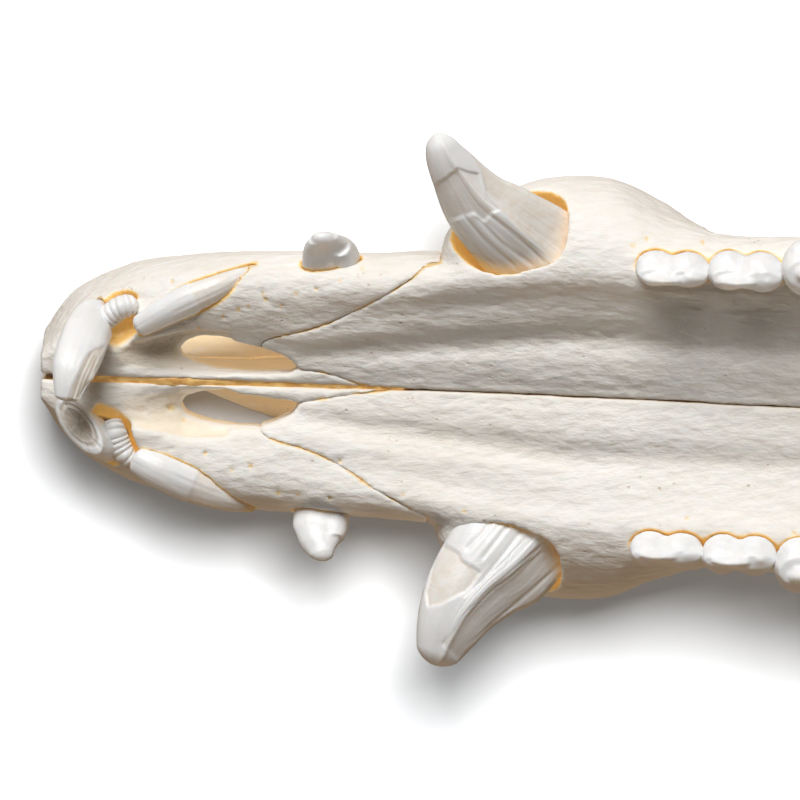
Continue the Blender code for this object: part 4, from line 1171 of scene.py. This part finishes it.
def front_fields(block, side):
    """The front bones' distances for one side, and how far each place lies from the premaxilla's part."""
    s, y, _ = block.axes(block.whole())
    half = kept(block.field, (slit_half(s) - y).astype(np.float32))
    premaxilla, nasal = premaxilla_space(block, side), nasal_space(block)
    arch, brow = arch_space(block), brow_space(block)
    before_eye = (s - FACE_BACK_S + SUTURE_HALF).astype(np.float32)
    return {
        "premaxilla": kept(half, premaxilla + SUTURE_HALF, SUTURE_HALF - nasal),
        "maxilla": kept(half, before_eye, SUTURE_HALF - premaxilla, SUTURE_HALF - nasal, SUTURE_HALF - arch,
                        SUTURE_HALF - brow),
        "nasal": np.maximum(nasal_field(block), (SUTURE_HALF - y).astype(np.float32)),
    }, premaxilla


def nasal_section(s):
    """Half outline of the nasal bones, long roof plates with a low crest inside."""
    half, roof, crest = nasal_w(s), roof_z(s), float(nasal_crest(s))
    return [(0, crest), (1.6, 0.5 * (crest + NASAL_UNDER_Z)), (0.3 * half + 1.5, NASAL_UNDER_Z),
            (0.85 * half, NASAL_UNDER_Z), (half, 0.7 * NASAL_UNDER_Z), (half, roof + 1.6), (0.8 * half, roof),
            (0, roof)]


def nasal_field(block):
    """The nasal bone's distances, with nothing below the table's level."""
    stations = [18, 20, 22.5, 25.5, *np.arange(29, 190, 5), NASAL_BACK_S]
    nasal = form_field(block, section_form(nasal_section, stations))
    floor = form_field(block, below_floor())
    return np.maximum(nasal, -floor)


def back_fields(back):
    """The back bones' distances for the left half."""
    s, y, _ = back.axes(back.whole())
    arch, brow = arch_space(back), brow_space(back)
    behind_face = (FACE_BACK_S + SUTURE_HALF - s).astype(np.float32)
    beside_middle = (SUTURE_HALF - y).astype(np.float32)
    return {
        "zygomatic": kept(back.field, arch + SUTURE_HALF),
        "frontal": kept(back.field, beside_middle, brow + SUTURE_HALF),
        "braincase": kept(back.field, behind_face, SUTURE_HALF - arch, SUTURE_HALF - brow),
    }


def both_halves(block, field):
    """A block and field of the whole width from the left half's, whose first rows cross the midline."""
    whole = block.copy()
    rows = round(-2 * block.low[1] / block.step)
    field = np.concatenate([field[:, :rows:-1], field], axis=1)
    whole.low = block.low.copy()
    whole.low[1] = -(block.low[1] + (block.shape[1] - 1) * block.step)
    whole.shape = field.shape
    return whole, field


def shelter(block):
    """How much bone lies round each place, near 0.5 on a flat, more in hollows and less on edges: it sets the
    painted shade in hollows.
    """
    field = np.clip(0.5 - block.field / (1.5 * block.step), 0, 1)
    reach = max(2, round(HOLLOW_SHADE_REACH / block.step))
    for axis in range(3):
        for _ in range(2):
            total = np.cumsum(np.pad(field, [(reach + 1, reach) if i == axis else (0, 0) for i in range(3)],
                                     mode="edge"), axis=axis)
            wide = 2 * reach + 1
            ahead = np.take(total, np.arange(wide, total.shape[axis]), axis=axis)
            behind = np.take(total, np.arange(0, total.shape[axis] - wide), axis=axis)
            field = (ahead - behind) / wide
    return field.astype(np.float32)


def bone_skin(block, field, around, seed):
    """A bone's surface with its grain, and how sheltered each point is, for the painted shade in its hollows.
    """
    skin = Skin(*surface_of(block, field))
    skin.points = relaxed(skin.points, skin.quads, 2)
    skin.shelter = sampled(block, around, skin.points)
    grain = (0.07 * rough(skin.points, (5.0, 2.6, 2.6), seed)
             + 0.07 * rough(skin.points, (2.4, 1.2, 1.2), seed + 1)
             + 0.055 * rough(skin.points, (1.3, 0.7, 0.7), seed + 2))
    skin.push(grain)
    skin.stain = np.zeros(len(skin.points))
    return skin


def near_paths(block, points, paths, low, high):
    """1 on and in tubes along the paths, less from low to high millimetres outside them, and then 0."""
    tubes = block.copy()
    tubes.field[:] = BAND
    for path in paths:
        tubes.add(tube_form(path))
    return 1 - between(sampled(block, tubes.field, points), low, high)


def front_stain_and_shade(skin, block, teeth, suture, side):
    """How amber the front bones are, partly stain and, in the troughs, partly painted shade, and how strongly
    a painted glow lights each point there, as if light came through thin bone.
    """
    points = skin.points
    s, y, z = points.T
    depth = palate_z(s) - z
    near_teeth = 1 - between(sampled(block, teeth, points), 0.25, STAIN_REACH)
    near_teeth *= 1 - between(depth, 2.8, 4.5)
    in_suture = 1 - between(np.abs(sampled(block, suture, points)), 0.06, 0.32)
    in_suture *= between(rough(points, 2.5, 40), -0.3, 0.45) * between(z, 30, 40)
    in_slit = (1 - between(y, 0.45, 0.75)) * between(depth, 0.15, 0.8)
    in_slit *= (1 - 0.6 * between(s, 61, 62.5)) * (1 - between(depth, 4, 6))
    # Partly painted shade: the troughs are tinted amber brown, partly as stain and partly as the shade that
    # falls in them.
    trough_stain_and_shade = 0.3 * near_paths(block, points, [path for path, _ in TROUGHS[side]], 0.2, 1.4)
    trough_stain_and_shade *= between(y, 1.5, 2.5)
    in_crypt = near_paths(block, points, [path for path, _ in CRYPTS[side]], 0.3, 0.8)
    in_crypt *= between(depth, -1.8, 0.2)
    in_socket = near_paths(block, points, [TUSK_SOCKET], 0.15, 0.6)
    inside = 0.52 * between(depth, 2.5, 7) * (1 - between(y, 13, 17)) * between(z, 0.5, 2)
    inside *= between(s, 18, 24) * (1 - between(s, 120, 126))
    pores = sum(np.exp(-((s - pore_s) ** 2 + (y - pore_y) ** 2) / (1.1 * size) ** 2)
                for pore_s, pore_y, size in PORES[side])
    pores *= 1 - between(depth, 3, 5)
    # Painted glow: emission inside the nose, in the crypts and sockets and beside the teeth, as if light came
    # through thin bone.
    skin.glow = np.maximum.reduce([inside * (1 - between(y, 9, 13)), 0.6 * in_crypt, 0.6 * in_socket,
                                   0.35 * near_teeth])
    stains = [near_teeth, 0.8 * in_suture, in_slit, in_crypt, in_socket, inside, trough_stain_and_shade,
              0.8 * np.clip(pores, 0, 1)]
    return np.clip(np.maximum.reduce(stains), 0, 1)


def mirrored_skin(skin):
    """The skin turned over to the animal's right, with its faces still looking out."""
    skin.points = skin.points * (1, -1, 1)
    skin.quads = skin.quads[:, ::-1]
    skin.triangles = np.asarray(skin.triangles, int).reshape(-1, 3)[:, ::-1]
    return skin


def bone_skins():
    """Every bone's surface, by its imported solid's name."""
    face, back = Block(*FACE_BOX, FINE), Block(*BACK_BOX, COARSE)
    for block in (face, back):
        add_bone(block)
        carve_hollows(block)
    skins = {}
    for number, side in enumerate(("left", "right")):
        block, teeth = side_block(face, side)
        without_pores(block, side)
        fields, suture = front_fields(block, side)
        around = shelter(block)
        for name, field in fields.items():
            skin = bone_skin(block, field, around, 50 + 10 * number)
            skin.stain = front_stain_and_shade(skin, block, teeth, suture, side)
            skins[f"{name}_{side}"] = skin
    around = shelter(back)
    fields = back_fields(back)
    for number, side in enumerate(("left", "right")):
        for name in ("zygomatic", "frontal"):
            skins[f"{name}_{side}"] = bone_skin(back, fields[name], around, 80 + 10 * number)
    skins["braincase"] = bone_skin(*both_halves(back, fields["braincase"]), both_halves(back, around)[1], 100)
    return {name: mirrored_skin(skin) if name.endswith("right") else skin for name, skin in skins.items()}


# --- Materials -------------------------------------------------------------------------------------


class Look:
    """A material that is built up one step at a time."""

    def __init__(self, name):
        self.material = bpy.data.materials.new(name)
        self.material.use_nodes = True
        self.tree = self.material.node_tree
        self.shader = self.tree.nodes["Principled BSDF"]

    def put(self, socket, value):
        if isinstance(value, bpy.types.NodeSocket):
            self.tree.links.new(value, socket)
        elif hasattr(value, "__len__") and len(value) == 3 and socket.type == "RGBA":
            socket.default_value = (*value, 1)
        else:
            socket.default_value = value

    def add(self, kind, inputs=(), **settings):
        node = self.tree.nodes.new("ShaderNode" + kind)
        for name, value in settings.items():
            setattr(node, name, value)
        for name, value in dict(inputs).items():
            self.put(node.inputs[name], value)
        return node

    def surface(self, **inputs):
        for name, value in inputs.items():
            self.put(self.shader.inputs[name.replace("_", " ").title().replace("Ior", "IOR")], value)

    def attribute(self, name):
        return self.add("Attribute", attribute_name=name).outputs["Fac"]

    def place(self, scale):
        coordinates = self.add("TexCoord").outputs["Object"]
        return self.add("Mapping", {"Vector": coordinates, "Scale": scale}).outputs["Vector"]

    def noise(self, place, scale, detail=4.0, roughness=0.55):
        node = self.add("TexNoise", {"Vector": place, "Scale": scale, "Detail": detail,
                                     "Roughness": roughness})
        return node.outputs["Fac"]

    def rise(self, value, low, high):
        """0 to 1 as a value goes from low to high."""
        return self.add("MapRange", {"Value": value, "From Min": low, "From Max": high},
                        interpolation_type="SMOOTHSTEP").outputs["Result"]

    def mix(self, factor, a, b):
        node = self.add("Mix", data_type="RGBA")
        colours = [socket for socket in node.inputs if socket.type == "RGBA"]
        self.put(node.inputs[0], factor)
        self.put(colours[0], a)
        self.put(colours[1], b)
        return [socket for socket in node.outputs if socket.type == "RGBA"][0]

    def sum(self, a, b, operation="ADD"):
        node = self.add("Math", operation=operation)
        self.put(node.inputs[0], a)
        self.put(node.inputs[1], b)
        return node.outputs[0]

    def bump(self, height, distance, strength, normal=None):
        node = self.add("Bump", {"Height": height, "Distance": distance, "Strength": strength})
        if normal:
            self.put(node.inputs["Normal"], normal)
        return node.outputs["Normal"]


def bone_look():
    """Clean dry bone: pale and matt, with painted shade darker and warmer in its hollows, amber where grease
    stayed, and a painted glow where light would come through thin bone.
    """
    look = Look("bone")
    whole, grain = look.place((1, 1, 1)), look.place((0.4, 1, 1))
    blotches = look.noise(whole, 70, 5)
    fibres = look.noise(grain, 900, 6, 0.65)
    specks = look.add("TexVoronoi", {"Vector": whole, "Scale": 620.0}).outputs["Distance"]
    gathered = look.rise(look.noise(whole, 140, 2), 0.57, 0.68)
    speck = look.sum(look.rise(specks, 0.2, 0.1), gathered, "MULTIPLY")
    colour = look.mix(look.rise(blotches, 0.3, 0.75), BONE_PALE, BONE_WARM)
    # Painted shade: darker, warmer colour in the hollows, from how much bone lies round each place.
    colour = look.mix(look.rise(look.attribute("shelter"), 0.52, 0.74), colour, BONE_HOLLOW_SHADE)
    colour = look.mix(look.sum(look.rise(fibres, 0.62, 0.3), 0.3, "MULTIPLY"), colour, BONE_FIBRE)
    # Dark specks in the pits: partly the pores' own brown, partly painted shade in them.
    colour = look.mix(look.sum(speck, 0.5, "MULTIPLY"), colour, BONE_PORE_TINT_AND_SHADE)
    # The stain holds real amber stains and, in the palate's troughs, some painted shade.
    stain = look.attribute("stain")
    patchy = look.sum(stain, look.rise(look.noise(whole, 420, 4), -0.1, 0.5), "MULTIPLY")
    colour = look.mix(look.rise(patchy, 0.05, 0.75), colour, AMBER_PALE)
    colour = look.mix(look.rise(patchy, 0.6, 1.0), colour, AMBER_DEEP)
    fine = look.bump(look.noise(grain, 2600, 5, 0.6), 0.00018, 0.35)
    dimples = look.bump(look.noise(grain, 620, 3, 0.5), 0.0005, 1.0, fine)
    pits = look.bump(look.sum(1.0, speck, "SUBTRACT"), 0.00025, 0.6, dimples)
    # Painted glow: the bone gives off its own colour as light where light would come through thin bone.
    glow = look.sum(look.attribute("glow"), PAINTED_GLOW_STRENGTH, "MULTIPLY")
    look.surface(emission_color=colour, emission_strength=glow)
    look.surface(base_color=colour, roughness=look.rise(patchy, 1.6, -0.6), normal=pits,
                 subsurface_weight=0.12,
                 subsurface_scale=0.002, subsurface_radius=(1.0, 0.6, 0.35), specular_ior_level=0.32)
    return look.material


def tooth_look():
    """Enamel, with cream dentine where it is worn or bare and amber at the gum."""
    look = Look("tooth")
    whole, streak = look.place((1, 1, 1)), look.place((1, 1, 0.3))
    clouds = look.noise(whole, 160, 4)
    colour = look.mix(look.rise(clouds, 0.3, 0.75), ENAMEL_WHITE, ENAMEL_GREY)
    dentine = look.mix(look.rise(look.noise(streak, 700, 4), 0.35, 0.7), DENTINE_PALE, DENTINE_DEEP)
    colour = look.mix(look.attribute("dentine"), colour, dentine)
    colour = look.mix(look.attribute("wear"), colour, WORN_BROWN)
    stain = look.sum(look.attribute("stain"), look.rise(look.noise(whole, 500, 3), 0.1, 0.6), "MULTIPLY")
    colour = look.mix(look.rise(stain, 0.1, 0.9), colour, AMBER_PALE)
    cells = look.add("TexVoronoi", {"Vector": streak, "Scale": 230.0}, feature="DISTANCE_TO_EDGE")
    cracks = cells.outputs["Distance"]
    fine = look.bump(look.noise(streak, 1500, 4, 0.6), 0.0001, 0.3)
    lines = look.bump(look.rise(cracks, 0.0, 0.03), 0.00006, 0.25, fine)
    gloss = look.noise(whole, 380, 4)
    roughness = look.add("MapRange", {"Value": gloss, "To Min": 0.24, "To Max": 0.5}).outputs[0]
    look.surface(base_color=colour, roughness=roughness, normal=lines, subsurface_weight=0.25,
                 subsurface_scale=0.0025,
                 subsurface_radius=(1.0, 0.75, 0.6), specular_ior_level=0.5)
    return look.material


def membrane_look():
    """Dried amber tissue left in the slit between the bones, with a painted glow."""
    look = Look("membrane")
    place = look.place((0.5, 1, 1))
    colour = look.mix(look.rise(look.noise(place, 900, 4), 0.35, 0.65), MEMBRANE_PALE, MEMBRANE_DEEP)
    flecks = look.rise(look.noise(place, 1400, 2), 0.68, 0.74)
    look.surface(base_color=look.mix(flecks, colour, BONE_PALE), roughness=look.rise(flecks, -1.0, 1.6),
                 # Painted glow: the tissue gives off its own colour as light.
                 emission_color=colour, emission_strength=0.3,
                 normal=look.bump(look.noise(place, 1200, 4), 0.0004, 0.8))
    return look.material


def floor_look():
    """Smooth, pale card."""
    look = Look("floor")
    place = look.place((1, 1, 1))
    grain = look.noise(place, 300, 3)
    look.surface(base_color=look.mix(grain, FLOOR_PALE, FLOOR_DIM), roughness=0.8, specular_ior_level=0.1,
                 normal=look.bump(grain, 0.0002, 0.05))
    return look.material


# --- Camera, light and floor -----------------------------------------------------------------------


def set_camera():
    """The photograph's view: nearly straight down on the palate, from a little to the animal's left."""
    lean, turn = math.radians(CAMERA_LEAN), math.radians(CAMERA_TURN)
    right = Vector((1, 0, 0))
    up = Vector((0, math.cos(lean), -math.sin(lean)))
    back = Vector((0, math.sin(lean), math.cos(lean)))
    right, up = right * math.cos(turn) + up * math.sin(turn), up * math.cos(turn) - right * math.sin(turn)
    data = bpy.data.cameras.new("camera")
    data.sensor_width = 36
    data.lens = 36 * CAMERA_AWAY / VIEW_WIDTH
    data.clip_start, data.clip_end = 0.1, 10
    camera = bpy.data.objects.new("camera", data)
    bpy.context.scene.collection.objects.link(camera)
    place = Vector(VIEW_CENTRE) + back * CAMERA_AWAY
    camera.matrix_world = Matrix.Translation(place) @ Matrix((right, up, back)).transposed().to_4x4()
    bpy.context.scene.camera = camera


def area_light(name, size, power, azimuth, elevation, colour, shines_on):
    """A square softbox that looks at the skull. Azimuth 0 is the image's top, 90 its right."""
    data = bpy.data.lights.new(name, "AREA")
    data.shape = "SQUARE"
    data.size = size
    data.energy = power
    data.color = colour
    light = bpy.data.objects.new(name, data)
    bpy.context.scene.collection.objects.link(light)
    a, e = math.radians(azimuth), math.radians(elevation)
    way = Vector((math.sin(a) * math.cos(e), math.cos(a) * math.cos(e), math.sin(e)))
    turned = way.to_track_quat("Z", "Y").to_matrix().to_4x4()
    light.matrix_world = Matrix.Translation(way * LIGHT_AWAY) @ turned
    light.light_linking.receiver_collection = shines_on
    return light


def collection_of(name, objects):
    """A collection for a light to shine on."""
    made = bpy.data.collections.new(name)
    for obj in objects:
        made.objects.link(obj)
    return made


def sky():
    """Light from all round: dim and warm from above, brighter and warmer from below, as off bone."""
    world = bpy.data.worlds.new("sky")
    world.use_nodes = True
    bpy.context.scene.world = world
    tree = world.node_tree
    way = tree.nodes.new("ShaderNodeTexCoord").outputs["Generated"]
    height = tree.nodes.new("ShaderNodeSeparateXYZ")
    ramp = tree.nodes.new("ShaderNodeMapRange")
    colours = tree.nodes.new("ShaderNodeMix")
    colours.data_type = "RGBA"
    tree.links.new(way, height.inputs[0])
    tree.links.new(height.outputs["Z"], ramp.inputs["Value"])
    ramp.inputs["From Min"].default_value = -SKY_BLEND
    ramp.inputs["From Max"].default_value = SKY_BLEND
    tree.links.new(ramp.outputs[0], colours.inputs[0])
    colours.inputs[6].default_value = (*SKY_BELOW, 1)
    colours.inputs[7].default_value = (*SKY_ABOVE, 1)
    tree.links.new(colours.outputs[2], tree.nodes["Background"].inputs["Color"])


def view_centre():
    """The place in the row's frame that the middle of the picture shows."""
    lean, turn = math.radians(CAMERA_LEAN), math.radians(CAMERA_TURN)
    up = Vector((0, math.cos(lean), -math.sin(lean)))
    up = up * math.cos(turn) - Vector((1, 0, 0)) * math.sin(turn)
    s = VIEW_S / math.cos(turn)
    slit = Vector(((s - LENGTH / 2) / 1000, 0, VIEW_HEIGHT))
    return slit - up * ((PHOTO_SIDE / 2 - SLIT_ROW) * PHOTO_MM * MM)


VIEW_CENTRE = view_centre()


def add_floor():
    """The table, which throws no light back at the skull."""
    mesh = bpy.data.meshes.new("floor")
    corners = [(-FLOOR_HALF, -FLOOR_HALF, 0), (FLOOR_HALF, -FLOOR_HALF, 0), (FLOOR_HALF, FLOOR_HALF, 0),
               (-FLOOR_HALF, FLOOR_HALF, 0)]
    mesh.from_pydata(corners, [], [(0, 1, 2, 3)])
    made = bpy.data.objects.new("floor", mesh)
    bpy.context.scene.collection.objects.link(made)
    made.data.materials.append(floor_look())
    made.visible_diffuse = False
    made.visible_glossy = False
    return made


# The amber tissue in the slit: where it starts and ends, its level under the palate, the height of
# its lumps, how far it goes into the bones, and its lines as (share of half width, height over the top).
MEMBRANE_S = (6, 61.4)
MEMBRANE_DEPTH, MEMBRANE_LUMPS, MEMBRANE_IN_BONE = 0.55, 0.22, 0.35
MEMBRANE_LINES = ((1, -2), (1, -0.15), (0.3, 0.12), (-0.3, 0), (-1, -0.2), (-1, -2))


def add_membrane():
    """The amber tissue in the slit: a low, lumpy ribbon a little under the palate."""
    stations = np.linspace(*MEMBRANE_S, 180)
    wave = rough(np.column_stack([stations, stations * 0, stations * 0]), 1.3, 30)
    top = palate_z(stations) - MEMBRANE_DEPTH + MEMBRANE_LUMPS * wave
    half = slit_half(stations) + MEMBRANE_IN_BONE
    rings = np.stack([np.column_stack([stations, across * half, top + rise])
                      for across, rise in MEMBRANE_LINES], axis=1)
    points, quads, triangles = closed_sweep(rings)
    return mesh_object("slit_membrane", points, quads, triangles)


def dress(name, skin, material):
    """A skin as one of the model's pieces, with what its material reads from it."""
    obj = mesh_object(name, skin.points, skin.quads, skin.triangles)
    for attribute in ("shelter", "stain", "glow", "dentine", "wear"):
        if hasattr(skin, attribute):
            set_attribute(obj, attribute, getattr(skin, attribute))
    obj.data.materials.append(material)
    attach(obj, "root")
    return obj


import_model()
bone, tooth = bone_look(), tooth_look()
for name, skin in bone_skins().items():
    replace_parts(dress(f"{name}_bone", skin, bone), name)
for side, sign in (("left", 1), ("right", -1)):
    for name, skin in side_teeth(side, sign).items():
        if side == "right":
            skin = mirrored_skin(skin)
        piece = dress(f"{name}_{side}", skin, tooth)
        if name == "tusk_tooth":
            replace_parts(piece, f"tusk_{side}")
membrane = add_membrane()
membrane.data.materials.append(membrane_look())
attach(membrane, "root")
set_camera()
floor = add_floor()
floor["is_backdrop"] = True
lit = {"skull": collection_of("skull_set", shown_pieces()), "floor": collection_of("floor_set", [floor])}
for name, (size, power, azimuth, elevation, colour, shines_on) in LIGHTS.items():
    area_light(name, size, power, azimuth, elevation, colour, lit[shines_on])
sky()
bpy.context.scene.view_settings.view_transform = "Standard"
